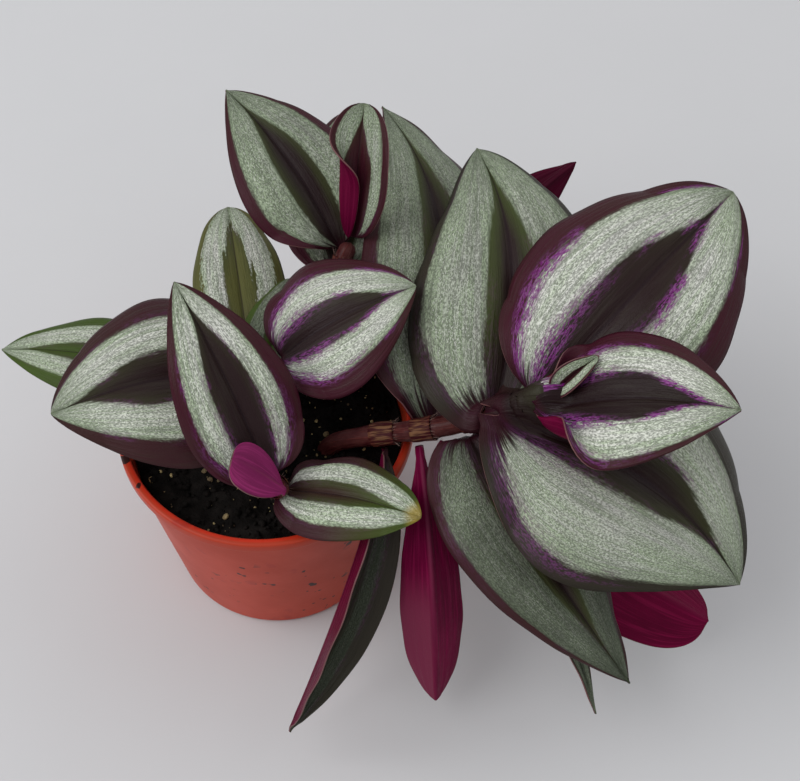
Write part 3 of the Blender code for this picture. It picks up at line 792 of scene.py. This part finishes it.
def leaf_under_material(name, leaf, seed, values):
    """Purple underside with fine lengthwise lines, and on some leaves painted light that pales one half
    towards the tip.
    """
    look = LEAF_LOOK | LEAF_LOOKS[name]
    made, tree, shader = finish(f"{name} underside", IOR=1.42, Specular_IOR_Level=0.06)
    place = leaf_place(tree, leaf, seed)
    lines = blade_grain(tree, place["Flat"], "under lines")
    cells = blade_grain(tree, place["Flat"], "under cells")
    broad = blade_grain(tree, place["Flat"], "under broad")
    body = look["under"] or values.underside
    bright = [min(1, part * 1.5 + 0.003) for part in body]
    mixed = colour_mix(tree, slope(tree, broad, 0.35, 0.65), toned(body, 0.70), body)
    colour = colour_mix(tree, slope(tree, lines, 0.45, 0.7, 0.0, 0.7), mixed, bright)
    # Painted light: one half of the underside is paled towards the tip, where the fold faces the light
    if look["lit_half"]:
        half = slope(tree, product(tree, place["Side"], look["lit_half"]), 0.0, 0.10)
        half = product(tree, half, slope(tree, place["Share"], 0.38, 0.62))
        colour = colour_mix(tree, half, colour, PAINTED_LIT_UNDER)
    fading = slope(tree, place["Share"], 0.9, 0.2, 0.1, 0.5)
    midrib = product(tree, slope(tree, place["Away"], 0.06, 0.0), fading)
    colour = colour_mix(tree, midrib, colour, UNDER_MIDRIB)
    put(tree, shader, colour, slope(tree, cells, 0.3, 0.7, 0.36, 0.48), total(tree, lines, cells), 0.06)
    return made


def mottled(name, first, second, scale, roughness, detail=2.0, **constants):
    """Material that varies between two colours and two roughnesses by one noise."""
    made, tree, shader = finish(name, **constants)
    tone = grain(tree, object_place(tree), scale, detail)
    put(tree, shader, colour_mix(tree, tone, first, second), slope(tree, tone, 0, 1, *roughness))
    return made


def stem_material(values):
    """Fleshy stem with pale streaks along it."""
    made, tree, shader = finish("fleshy stem", IOR=1.42, Specular_IOR_Level=0.2)
    uv = own_map(tree, "stem")
    streaks = slope(tree, grain(tree, uv, 1.0, 3.0, (26.0, 0.16, 1)), 0.48, 0.68)
    patches = grain(tree, uv, 1.0, 2.0, (4.0, 0.3, 1))
    body = colour_mix(tree, slope(tree, patches, 0.3, 0.7), values.colour, STEM_BLUSH)
    colour = colour_mix(tree, product(tree, streaks, 0.65), body, values.streak_colour)
    put(tree, shader, colour, slope(tree, patches, 0, 1, 0.3, 0.5), streaks, 0.12)
    return made


def sheath_material(values):
    """Papery sheath with cream lines along it."""
    made, tree, shader = finish("papery sheath", IOR=1.42, Specular_IOR_Level=0.2)
    uv = own_map(tree, "stem")
    lines = slope(tree, grain(tree, uv, 1.0, 2.0, (30.0, 0.2, 1)), 0.44, 0.60)
    patches = slope(tree, grain(tree, uv, 1.0, 2.0, (2.0, 0.25, 1)), 0.35, 0.62)
    cream = colour_mix(tree, patches, values.streak_colour, SHEATH_CREAM)
    colour = colour_mix(tree, lines, values.colour, cream)
    put(tree, shader, colour, slope(tree, patches, 0, 1, 0.4, 0.55), lines, 0.1)
    return made


def pot_material(values):
    """Moulded plastic wall with a bright rim, painted as the glow of light through the thin plastic at its
    inner edge, a lighter foot in the same colour and a few specks of soil.
    """
    made, tree, shader = finish("terracotta plastic", IOR=1.46, Specular_IOR_Level=0.3)
    place = object_place(tree)
    height = node(tree, "ShaderNodeSeparateXYZ", {0: place}).outputs[2]
    level = node(tree, "ShaderNodeVectorMath", {0: place, 1: (1, 1, 0)}, operation="MULTIPLY").outputs[0]
    out = node(tree, "ShaderNodeVectorMath", {0: level}, operation="LENGTH").outputs["Value"]
    cloudy = grain(tree, place, 45.0, 4.0)
    wall = colour_mix(tree, slope(tree, cloudy, 0.3, 0.7), values.colour, toned(values.colour, 0.82))
    # Painted light: glow through the thin plastic at the inner edge of the rim's top; the foot gets up to
    # half of the same colour
    top = slope(tree, height, (POT_HEIGHT - 1.2) * MM, (POT_HEIGHT - 0.3) * MM)
    rim = product(tree, top, slope(tree, out, (POT_RIM_RADIUS - 0.6) * MM, (POT_RIM_RADIUS - 1.0) * MM))
    foot = slope(tree, height, 2.5 * MM, 0.5 * MM, 0.0, 0.5)
    wall_with_glow = colour_mix(tree, calc(tree, "MAXIMUM", rim, foot), wall, values.rim_glow_and_foot_colour)
    stains = slope(tree, grain(tree, place, 150.0, 3.0), 0.62, 0.72, 0.0, 0.7)
    stained = colour_mix(tree, stains, wall_with_glow, POT_STAIN)
    spots = slope(tree, grain(tree, place, 430.0, 1.0), 0.66, 0.69)
    specks = product(tree, spots, slope(tree, grain(tree, place, 60.0, 1.0), 0.47, 0.56))
    colour = colour_mix(tree, specks, stained, POT_SPECK)
    roughness = slope(tree, cloudy, 0.2, 0.8, values.roughness - 0.06, values.roughness + 0.08)
    put(tree, shader, colour, roughness, grain(tree, place, 900.0, 2.0), 0.02)
    return made


def soil_material(values):
    """Dark moist soil, uneven in tone."""
    made, tree, shader = finish("moist soil", IOR=1.4, Specular_IOR_Level=0.12)
    place = object_place(tree)
    tone = slope(tree, grain(tree, place, 350.0, 4.0), 0.35, 0.75)
    fine = grain(tree, place, 1600.0, 3.0)
    colour = colour_mix(tree, tone, values.colour, toned(values.colour, 2.6))
    put(tree, shader, colour, slope(tree, fine, 0.2, 0.8, 0.72, 0.95), fine, 0.25)
    return made


def grit_material(values):
    """Pale mineral grains."""
    made, tree, shader = finish("pale grit", IOR=1.45)
    tone = grain(tree, object_place(tree), 220.0, 3.0)
    colour = colour_mix(tree, slope(tree, tone, 0.3, 0.7), values.grit_colour, GRIT_SHADE)
    put(tree, shader, colour, slope(tree, tone, 0, 1, 0.6, 0.9), tone, 0.1)
    return made


# Meshes, drawn in millimetres


def add_object(name, data, place=(0, 0, 0), turn=(0, 0, 0)):
    """Object of some data, put in the scene."""
    made = bpy.data.objects.new(name, data)
    made.location = place
    made.rotation_euler = turn
    bpy.context.scene.collection.objects.link(made)
    return made


def mesh_object(name, bm, looks=()):
    """Object of a bmesh, brought to metres."""
    bmesh.ops.scale(bm, vec=(MM, MM, MM), verts=bm.verts)
    mesh = bpy.data.meshes.new(name)
    bm.to_mesh(mesh)
    bm.free()
    for look in looks:
        mesh.materials.append(look)
    return add_object(name, mesh)


def piece(name, bm, looks, slot, *nodes):
    """Shaded object of a bmesh that rides on the plant and stands for its plain nodes."""
    made = mesh_object(name, bm, looks)
    made.data.shade_smooth()
    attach(made, "root")
    if nodes:
        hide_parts(*nodes)
    return made


def thicken(made, thickness, offset):
    """Gives a piece's sheet its thickness."""
    solidify = made.modifiers.new("thickness", "SOLIDIFY")
    solidify.thickness = thickness
    solidify.offset = offset
    return solidify


def smooth_path(points, steps):
    """Points along a smooth curve through the given ones."""
    knots = [Vector(point) for point in points]
    knots = [2 * knots[0] - knots[1], *knots, 2 * knots[-1] - knots[-2]]
    path = []
    for a, b, c, d in zip(knots, knots[1:], knots[2:], knots[3:]):
        for step in range(steps):
            t = step / steps
            path.append(b + (c - a) * t / 2 + (2 * a - 5 * b + 4 * c - d) * t**2 / 2
                        + (3 * b - a - 3 * c + d) * t**3 / 2)
    path.append(knots[-2])
    return path


class StemPath:
    """A stem's middle line, with the share of its length at each point."""

    def __init__(self, stem, steps=STEM_STEPS):
        self.points = smooth_path(STEMS[stem], steps)
        lengths = [0]
        for a, b in zip(self.points, self.points[1:]):
            lengths.append(lengths[-1] + (b - a).length)
        self.length = lengths[-1]
        self.shares = [length / self.length for length in lengths]
        leaves = [leaf for leaf in LEAVES.values() if leaf["stem"] == stem and not leaf.get("tip")]
        self.nodes = [leaf.get("sheath", leaf["at"]) for leaf in leaves]

    def at(self, share):
        """Point and direction at a share of the length."""
        index = max(i for i, value in enumerate(self.shares[:-1]) if value <= share)
        a, b = self.points[index], self.points[index + 1]
        part = (share - self.shares[index]) / (self.shares[index + 1] - self.shares[index])
        return a.lerp(b, part), (b - a).normalized()

    def radius(self, share):
        """Radius, which tapers and swells a little where a leaf's sheath clasps the stem."""
        swell = 0
        for at in self.nodes:
            away = (share - at) * self.length / SHEATH_LENGTH
            swell = max(swell, exp(-away * away))
        return STEM_RADIUS + (STEM_TIP_RADIUS - STEM_RADIUS) * share**2 + SHEATH_PROUD * swell

    def clearance(self, share):
        """Distance from the middle line at which the middle of a blade clears the stem."""
        return self.radius(share) + GAP + BLADE / 2


def leaf_half_width(share, leaf):
    """Half the blade's width at a share of its length."""
    widest = leaf["base"] / (leaf["base"] + leaf["point"])
    fullest = widest ** leaf["base"] * (1 - widest) ** leaf["point"]
    outline = share ** leaf["base"] * (1 - share) ** leaf["point"] / fullest
    narrow = BLADE_BASE_WIDTH * (1 - share) ** 2 + BLADE_TIP_WIDTH
    return max(leaf["width"] * outline, narrow) / 2


def off_stem(place, path, over):
    """A place on a blade, moved under the leaf's own stem, or over it by a height where one is given."""
    nearest = []
    for index, (a, b) in enumerate(zip(path.points, path.points[1:])):
        part = max(0, min(1, intersect_point_line(place, a, b)[1]))
        foot = a.lerp(b, part)
        share = path.shares[index] * (1 - part) + path.shares[index + 1] * part
        nearest.append(((place - foot).length, index, foot, share))
    _, index, foot, share = min(nearest)
    way = (path.points[index + 1] - path.points[index]).normalized()
    down = (way * way.z - UP).normalized()
    clear = path.clearance(share)
    depth = (place - foot).dot(down)
    away = (place - foot - down * depth).length / (CLASP_WIDTH * clear)
    if over is not None:
        lifted = (clear + over) * exp(-(away**2)) + depth
        return place - down * max(0, lifted) * exp(-(away**4))
    needed = clear * exp(-(away**2))
    if -CLASP_DEPTH * clear < depth < needed:
        return place + down * (needed - depth) * exp(-(away**4))
    return place


def leaf_axes(leaf, path):
    """Base of a leaf, the way to its tip, the level normal of that way and the way across the blade."""
    point, stem_way = path.at(leaf["at"])
    heading, rise = radians(leaf["heading"]), radians(leaf["rise"])
    forward = Vector((cos(rise) * cos(heading), cos(rise) * sin(heading), sin(rise)))
    level = (UP - forward * forward.z).normalized()
    roll = radians(leaf["roll"])
    across = level.cross(forward) * cos(roll) - level * sin(roll)
    if leaf["tip"]:
        base = point + stem_way * 2 * BLADE
    else:
        side = radians(leaf.get("side", leaf["heading"]))
        lift = radians(leaf["lift"])
        out = Vector((cos(lift) * cos(side), cos(lift) * sin(side), sin(lift)))
        out = (out - stem_way * out.dot(stem_way)).normalized()
        base = point + out * path.clearance(leaf["at"])
    return base, forward, level, across


def midrib_bow(leaf, share):
    """How far the midrib bows at a share of its length: 0 at both ends and 1 at the fullest."""
    eased = max(0, share) ** leaf["droop"]
    return 4 * eased * (1 - eased)


def arc_reach(length, start, turn):
    """Way out and up along a strip that starts at an angle above level and turns down by another."""
    turn += 0.00001
    return Vector((sin(start) - sin(start - turn), cos(start - turn) - cos(start))) * length / turn


def half_reach(leaf, share, aside, half, flat):
    """Way out and up from the midrib to a place on one half, over its bend and its flap."""
    away = abs(aside)
    fold = radians(of_half(leaf, "fold", aside)) * flat
    bend = radians(leaf["bend"]) * flat
    bend *= min(1, share / CURL_START) * (1 - CURL_FADE * max(0, share - CURL_END))
    hinge, turn, end = of_half(leaf, "flap", aside)
    inner = min(away, hinge)
    reach = arc_reach(half * inner, fold, bend * inner)
    if away > hinge:
        turned = bend * hinge
        curve = min((away - hinge) * half, FLAP_CURVE)
        rest = (away - hinge) * half - curve
        flap = radians(turn) * flat * exp(-((share / end) ** FLAP_FADE)) * curve / FLAP_CURVE
        ahead = bend * curve / half - flap
        reach += arc_reach(curve, fold - turned, ahead)
        reach += arc_reach(rest, fold - turned - ahead, bend * rest / half)
    return reach


def blade_point(leaf, axes, share, aside, path):
    """Point of the blade's middle sheet, with share from base to tip and aside from -1 to 1 across."""
    base, forward, level, across = axes
    bow_way = level * leaf["arch"] + level.cross(forward) * leaf["sickle"]
    middle = base + (forward * share + bow_way * midrib_bow(leaf, share)) * leaf["length"]
    rise = midrib_bow(leaf, share + SLOPE_STEP) - midrib_bow(leaf, share - SLOPE_STEP)
    ahead = (forward + bow_way * rise / (2 * SLOPE_STEP)).normalized()
    across = (across - ahead * across.dot(ahead)).normalized()
    out = ahead.cross(across)
    half = leaf_half_width(share, leaf)
    flat = min(1, half / FOLD_WIDTH)
    sideways, lift = half_reach(leaf, share, aside, half, flat)
    back = leaf["length"] * leaf["lobe"] * aside**2 * (1 - share) ** 3
    place = middle + across * sideways * (1 if aside > 0 else -1) + out * lift - ahead * back
    if leaf["clasp"] and not leaf["tip"] and share < CLASP_END:
        place = off_stem(place, path, leaf["over"])
    return place


def blade_relief(leaf, share, aside, groove, veins):
    """Height of the fine relief over the blade's sheet: the midrib's groove, the veins and a wavy margin."""
    away = abs(aside)
    across = aside * leaf_half_width(share, leaf)
    ends = min(1, share / RELIEF_BASE, (1 - share) / RELIEF_TIP)
    sunk = -groove * exp(-((across / GROOVE_WIDTH) ** 2))
    ribs = veins * sin(away * leaf["width"] * pi / VEIN_SPACING)
    turn = share * leaf["length"] / HALF_WAVE * pi + (WAVE_SHIFT if aside > 0 else 0)
    return (sunk + ribs + WAVE_HEIGHT * away**3 * sin(turn)) * ends


def build_leaf(name, leaf, values, seed, rim):
    """One leaf blade on a fine grid, bent to its form, with a map for its stripes and a thin margin."""
    leaf = LEAF_SHAPE | leaf
    path = StemPath(leaf["stem"])
    axes = leaf_axes(leaf, path)
    rows, columns = values.rows, values.columns
    if leaf["length"] < SMALL_LEAF:
        rows, columns = rows // 2, columns // 2
    bm = bmesh.new()
    bmesh.ops.create_grid(bm, x_segments=rows, y_segments=columns, size=1)
    map_layer = bm.loops.layers.uv.new("blade")
    thick_layer = bm.verts.layers.deform.verify()
    heights = {}
    for vert in bm.verts:
        share = (vert.co.x + 1) / 2
        share += BLADE_EDGE_ROWS * ((1 - cos(pi * share)) / 2 - share)
        aside = vert.co.y
        for loop in vert.link_loops:
            loop[map_layer].uv = ((aside + 1) / 2, share)
        vert[thick_layer][0] = 1 - max(0, abs(aside) - THINNING) / (1 - THINNING)
        heights[vert] = blade_relief(leaf, share, aside, values.groove / MM, values.veins / MM)
        vert.co = blade_point(leaf, axes, share, aside, path)
    bm.normal_update()
    for vert, height in heights.items():
        vert.co += vert.normal * height
    looks = [leaf_top_material(name, leaf, seed, values), leaf_under_material(name, leaf, seed, values), rim]
    slot = "green_leaf" if name in GREEN_LEAVES else "striped_leaf"
    made = piece(name.replace("leaf", "blade"), bm, looks, slot, name)
    made.vertex_groups.new(name="thickness")
    solidify = thicken(made, values.thickness, 0)
    solidify.vertex_group = "thickness"
    solidify.thickness_vertex_group = values.margin_thickness
    solidify.material_offset = 1
    solidify.material_offset_rim = 2


def ring_axes(way):
    """The ways to the side of and over a stem that runs in a direction."""
    side = way.cross(UP).normalized()
    return side, side.cross(way)


def tube(bm, path, radius, start, end, steps):
    """Round tube along part of a stem, rolled from a grid, mapped by its turn and millimetres along."""
    made = bmesh.ops.create_grid(bm, x_segments=steps, y_segments=STEM_SIDES, size=1)["verts"]
    layer = bm.loops.layers.uv["stem"]
    for vert in made:
        share = start + (end - start) * (vert.co.x + 1) / 2
        turn = (vert.co.y + 1) / 2
        for loop in vert.link_loops:
            loop[layer].uv = (turn, share * path.length)
        point, way = path.at(min(share, LAST_SHARE))
        side, over = ring_axes(way)
        angle = 2 * pi * turn
        vert.co = point + (side * cos(angle) + over * sin(angle)) * radius(share)
    bmesh.ops.remove_doubles(bm, verts=made, dist=0.0001)


def build_stem(stem, values, look, sheath_look, hair_look):
    """A fleshy stem with rounded ends, and the sheath and hairs at each of its leaves."""
    path = StemPath(stem, FINE_STEM_STEPS)
    bm = bmesh.new()
    bm.loops.layers.uv.new("stem")
    cap = path.radius(1) / path.length

    def radius(share):
        end = max(0, share - (1 - cap)) / cap
        return max(path.radius(share) * max(0, 1 - end * end) ** 0.5, STEM_END_RADIUS)

    tube(bm, path, radius, 0, 1, STEM_ROWS)
    bmesh.ops.holes_fill(bm, edges=[edge for edge in bm.edges if edge.is_boundary], sides=0)
    bmesh.ops.recalc_face_normals(bm, faces=bm.faces)
    piece(f"fleshy_stem_{stem}", bm, [look], "stem", f"stem_{stem}")
    build_sheaths(stem, path, values, sheath_look, hair_look)


def build_sheaths(stem, path, values, look, hair_look):
    """Thin sheaths that wrap the stem above each leaf, flared at the mouth, with a fringe of hairs."""
    random = Random(f"{stem} {values.seed}")
    bm = bmesh.new()
    bm.loops.layers.uv.new("stem")
    hairs = bmesh.new()
    spaced = []
    for at in sorted(path.nodes):
        if not spaced or (at - spaced[-1]) * path.length > SHEATH_SPACING:
            spaced.append(at)
    for at in spaced:
        start = at - SHEATH_BELOW / path.length
        end = min(at + SHEATH_ABOVE / path.length, SHEATH_LAST)
        reach = end - start

        def radius(share):
            part = (share - start) / reach
            return path.radius(share) + SHEATH_LOOSE + SHEATH_FLARE * part * part

        tube(bm, path, radius, start, end, SHEATH_ROWS)
        point, way = path.at(end)
        side, over = ring_axes(way)
        for index in range(values.hairs):
            angle = 2 * pi * (index + random.random()) / values.hairs
            out = side * cos(angle) + over * sin(angle)
            ahead = (way + out * random.uniform(0.2, 0.9)).normalized()
            length = values.hair_length / MM * random.uniform(0.6, 1.1)
            add_hair(hairs, point + out * (radius(end) - HAIR_ROOT), ahead, length, HAIR_RADIUS)
    thicken(piece(f"sheaths_{stem}", bm, [look], "stem"), SHEATH_WALL * MM, 1)
    piece(f"sheath_hairs_{stem}", hairs, [hair_look], "stem")


def add_hair(bm, root, way, length, radius):
    """One pointed three-sided hair."""
    turn = way.to_track_quat("Z", "Y").to_matrix().to_4x4()
    place = Matrix.Translation(root + way * length / 2) @ turn
    bmesh.ops.create_cone(bm, cap_ends=True, segments=3, radius1=radius, radius2=radius * HAIR_TAPER,
                          depth=length, matrix=place)


def pot_radius(height):
    """Outer radius of the pot's tapered wall."""
    return POT_FOOT_RADIUS + (POT_RIM_RADIUS - POT_LIP_PROUD - POT_FOOT_RADIUS) * height / POT_HEIGHT


def spun(bm, outline, sides):
    """Turns a (radius, height) outline about the Z axis into a closed shape."""
    points = [bm.verts.new((radius, 0, height)) for radius, height in outline]
    edges = [bm.edges.new(pair) for pair in zip(points, points[1:])]
    bmesh.ops.spin(bm, geom=points + edges, axis=(0, 0, 1), cent=(0, 0, 0), angle=2 * pi, steps=sides,
                   use_merge=True)
    bmesh.ops.remove_doubles(bm, verts=bm.verts, dist=0.001)
    bmesh.ops.recalc_face_normals(bm, faces=bm.faces)


def arc(radius, height, size, start, end, steps):
    """Points on a quarter round of an outline, from one angle to another."""
    angles = [radians(start + (end - start) * step / steps) for step in range(steps + 1)]
    return [(radius + size * cos(angle), height + size * sin(angle)) for angle in angles]


def build_pot(values):
    """Thin tapered pot with a rolled lip, a rounded foot and drain holes."""
    lip_foot = POT_HEIGHT - POT_LIP_HEIGHT
    floor_radius = pot_radius(POT_FLOOR) - POT_WALL
    mouth = (pot_radius(POT_HEIGHT) - POT_WALL, POT_HEIGHT - POT_MOUTH_BEND)
    wall = [lip_foot - (lip_foot - POT_FOOT_BEND) * row / POT_ROWS for row in range(POT_ROWS + 1)]
    outline = [
        (0, POT_FLOOR),
        (floor_radius - POT_INNER_CORNER, POT_FLOOR),
        (floor_radius, POT_FLOOR + POT_INNER_CORNER),
        mouth,
        *arc(mouth[0] + POT_MOUTH_BEND, mouth[1], POT_MOUTH_BEND, 180, 90, 4),
        *arc(POT_RIM_RADIUS - POT_RIM_BEND, POT_HEIGHT - POT_RIM_BEND, POT_RIM_BEND, 90, 0, 4),
        *arc(POT_RIM_RADIUS - POT_LIP_BEND, lip_foot + POT_LIP_BEND, POT_LIP_BEND, 0, -90, 3),
        *[(pot_radius(height), height) for height in wall],
        *arc(pot_radius(POT_FOOT_BEND) - POT_FOOT_BEND, POT_FOOT_BEND, POT_FOOT_BEND, -15, -90, 5),
        (0, 0),
    ]
    bm = bmesh.new()
    spun(bm, outline, values.sides)
    pot = piece("moulded_pot", bm, [pot_material(values)], "pot", "pot")
    drill = bmesh.new()
    for index in range(DRAIN_HOLES):
        angle = 2 * pi * index / DRAIN_HOLES
        middle = (DRAIN_HOLE_RING * cos(angle), DRAIN_HOLE_RING * sin(angle), POT_FLOOR / 2)
        bmesh.ops.create_cone(drill, cap_ends=True, segments=DRAIN_HOLE_SIDES, radius1=DRAIN_HOLE_RADIUS,
                              radius2=DRAIN_HOLE_RADIUS, depth=4 * POT_FLOOR,
                              matrix=Matrix.Translation(middle))
    cutter = mesh_object("drain holes", drill)
    cut = pot.modifiers.new("drain holes", "BOOLEAN")
    cut.operation = "DIFFERENCE"
    cut.object = cutter
    pot.data = bpy.data.meshes.new_from_object(pot.evaluated_get(bpy.context.evaluated_depsgraph_get()))
    pot.modifiers.clear()
    pot.data.shade_smooth()
    pot.data.set_sharp_from_angle(angle=radians(POT_CREASE))
    bpy.data.objects.remove(cutter)


def soil_height(x, y):
    """Height of the loose, slightly domed soil at a point."""
    lumps = sin(0.55 * x + 1.3) * cos(0.47 * y - 0.4) + 0.6 * sin(0.31 * x - 0.62 * y)
    edge = (x * x + y * y) / POT_RIM_RADIUS**2
    return SOIL_LEVEL + SOIL_BUMP * (lumps + 0.8 - 1.4 * edge)


def soil_top(x, y):
    """Height of the soil with its crumbly relief."""
    coarse = noise.noise(Vector((x * 0.5, y * 0.5, 3.0)))
    fine = noise.noise(Vector((x * 1.7, y * 1.7, 9.0)))
    return soil_height(x, y) + SOIL_COARSE * coarse + SOIL_FINE * fine


def build_soil(values):
    """Crumbly soil, with loose crumbs, pale grit and fibres on it."""
    foot = POT_FLOOR + GAP
    foot_radius, top_radius = [pot_radius(height) - POT_WALL - GAP for height in (foot, SOIL_LEVEL)]
    outline = [(top_radius * ring / SOIL_RINGS, SOIL_LEVEL) for ring in range(SOIL_RINGS + 1)]
    outline += [(foot_radius, foot), (0, foot)]
    bm = bmesh.new()
    spun(bm, outline, SOIL_SIDES)
    for vert in bm.verts:
        if vert.co.z == SOIL_LEVEL:
            vert.co.z = soil_top(vert.co.x, vert.co.y)
    look = soil_material(values)
    piece("soil_bed", bm, [look], "soil", "soil")
    random = Random(values.seed)
    reach = top_radius - GRAIN_CLEAR
    scatter("soil_crumbs", values.crumbs, CRUMB_SIZES, 1, reach, random, look)
    scatter("soil_grit", values.grit, GRIT_SIZES, 2, reach, random, grit_material(values))
    bm = bmesh.new()
    for _ in range(values.fibres):
        x, y = spot(random, reach)
        way = Vector((random.uniform(-1, 1), random.uniform(-1, 1), random.uniform(-0.1, 0.35))).normalized()
        add_hair(bm, Vector((x, y, soil_top(x, y))), way, random.uniform(*FIBRE_LENGTHS), FIBRE_RADIUS)
    piece("soil_fibres", bm, [look], "soil")


def spot(random, reach):
    """Random place on the soil."""
    out = reach * random.random() ** 0.5
    angle = random.uniform(0, 2 * pi)
    return out * cos(angle), out * sin(angle)


def scatter(name, count, sizes, steps, reach, random, look):
    """Uneven grains strewn on the soil."""
    bm = bmesh.new()
    for _ in range(count):
        x, y = spot(random, reach)
        size = sizes[0] + (sizes[1] - sizes[0]) * random.random() ** GRAIN_POWER
        stretch = Vector([random.uniform(*shares) for shares in GRAIN_SHARES]) * size
        turn = Matrix.Rotation(random.uniform(0, 2 * pi), 4, "Z")
        tilt = Matrix.Rotation(random.uniform(0, pi), 4, "X")
        middle = Matrix.Translation((x, y, soil_top(x, y) + size * GRAIN_SINK))
        place = middle @ turn @ tilt @ Matrix.Diagonal((*stretch, 1))
        made = bmesh.ops.create_icosphere(bm, subdivisions=steps, radius=1, matrix=place)["verts"]
        for vert in made:
            shift = vert.co.normalized().cross(Vector((0.3, 0.5, 0.8)))
            vert.co += shift * random.uniform(-GRAIN_DENT, GRAIN_DENT) * size
    piece(name, bm, [look], "soil")


def build_stage(values):
    """Pale floor, soft light and the camera at the viewing angle."""
    bm = bmesh.new()
    bmesh.ops.create_grid(bm, x_segments=1, y_segments=1, size=FLOOR_REACH / MM)
    shade = toned(values.floor_colour, 0.97)
    look = mottled("painted floor", values.floor_colour, shade, 30.0, (0.75, 0.85), 3.0)
    floor = mesh_object("studio_floor", bm, [look])

    scene = bpy.context.scene
    scene.world = bpy.data.worlds.new("soft sky")
    scene.world.use_nodes = True
    sky = scene.world.node_tree.nodes["Background"]
    sky.inputs["Color"].default_value = SKY_COLOUR
    sky.inputs["Strength"].default_value = values.sky
    for name, place, size, share in LIGHTS:
        lamp = bpy.data.lights.new(name, "AREA")
        lamp.size = size
        lamp.energy = values.key * share
        add_object(name, lamp, place, (LIT_PLACE - Vector(place)).to_track_quat("-Z", "Y").to_euler())

    camera = bpy.data.cameras.new("camera")
    camera.lens = values.lens
    camera.sensor_width = SENSOR_WIDTH
    camera.sensor_fit = "HORIZONTAL"
    camera.clip_start = 0.01
    scene.camera = add_object("camera", camera, values.camera_place, (pi / 2 - values.camera_tilt, 0, 0))
    scene.view_settings.view_transform = "Standard"


class INCHPLANT_OT_stage(Operator):
    """Adds the floor, the soft light and the camera"""

    bl_idname = "inch_plant.stage"
    bl_label = "Stage"

    def execute(self, context):
        build_stage(context.scene.inch_plant_stage)
        return {"FINISHED"}


class INCHPLANT_OT_pot(Operator):
    """Builds the moulded pot with its drain holes"""

    bl_idname = "inch_plant.pot"
    bl_label = "Pot"

    def execute(self, context):
        build_pot(context.scene.inch_plant_pot)
        return {"FINISHED"}


class INCHPLANT_OT_soil(Operator):
    """Builds the soil with its crumbs, grit and fibres"""

    bl_idname = "inch_plant.soil"
    bl_label = "Soil"

    def execute(self, context):
        build_soil(context.scene.inch_plant_soil)
        return {"FINISHED"}


class INCHPLANT_OT_stems(Operator):
    """Builds every stem with its sheaths and hairs"""

    bl_idname = "inch_plant.stems"
    bl_label = "Stems"

    def execute(self, context):
        values = context.scene.inch_plant_stems
        hair_look = mottled("fine hairs", *HAIR_TONES, 900.0, (0.4, 0.6), IOR=1.4)
        looks = stem_material(values), sheath_material(values), hair_look
        for stem in STEMS:
            build_stem(stem, values, *looks)
        return {"FINISHED"}


class INCHPLANT_OT_leaves(Operator):
    """Builds every leaf with its bands and purple underside"""

    bl_idname = "inch_plant.leaves"
    bl_label = "Leaves"

    def execute(self, context):
        values = context.scene.inch_plant_leaves
        rim = mottled("leaf margin line", values.rim, RIM_SHADE, 400.0, (0.35, 0.5), IOR=1.42)
        for index, (name, leaf) in enumerate(LEAVES.items()):
            build_leaf(name, leaf, values, index * SEED_STEP, rim)
        return {"FINISHED"}


class INCHPLANT_PT_panel(Panel):
    """Lists the steps that build the plant, with their values"""

    bl_label = "Inch Plant"
    bl_idname = "INCHPLANT_PT_panel"
    bl_space_type = "VIEW_3D"
    bl_region_type = "UI"
    bl_category = "Inch Plant"

    def draw(self, context):
        for operator, name, values in STEPS:
            box = self.layout.box()
            box.operator(operator.bl_idname)
            for value in values.__annotations__:
                box.prop(getattr(context.scene, name), value)


STEPS = [
    (INCHPLANT_OT_stage, "inch_plant_stage", InchPlantStage),
    (INCHPLANT_OT_pot, "inch_plant_pot", InchPlantPot),
    (INCHPLANT_OT_soil, "inch_plant_soil", InchPlantSoil),
    (INCHPLANT_OT_stems, "inch_plant_stems", InchPlantStems),
    (INCHPLANT_OT_leaves, "inch_plant_leaves", InchPlantLeaves),
]


def register():
    """Registers the values and operator of each step, and the panel."""
    for operator, name, values in STEPS:
        bpy.utils.register_class(values)
        setattr(bpy.types.Scene, name, PointerProperty(type=values))
        bpy.utils.register_class(operator)
    bpy.utils.register_class(INCHPLANT_PT_panel)


def unregister():
    """Takes all of them out again."""
    bpy.utils.unregister_class(INCHPLANT_PT_panel)
    for operator, name, values in reversed(STEPS):
        bpy.utils.unregister_class(operator)
        delattr(bpy.types.Scene, name)
        bpy.utils.unregister_class(values)


def main():
    """Builds the stage and the plant."""
    register()
    bpy.ops.inch_plant.stage()
    bpy.ops.inch_plant.pot()
    bpy.ops.inch_plant.soil()
    bpy.ops.inch_plant.stems()
    bpy.ops.inch_plant.leaves()


if __name__ == "__main__":
    main()
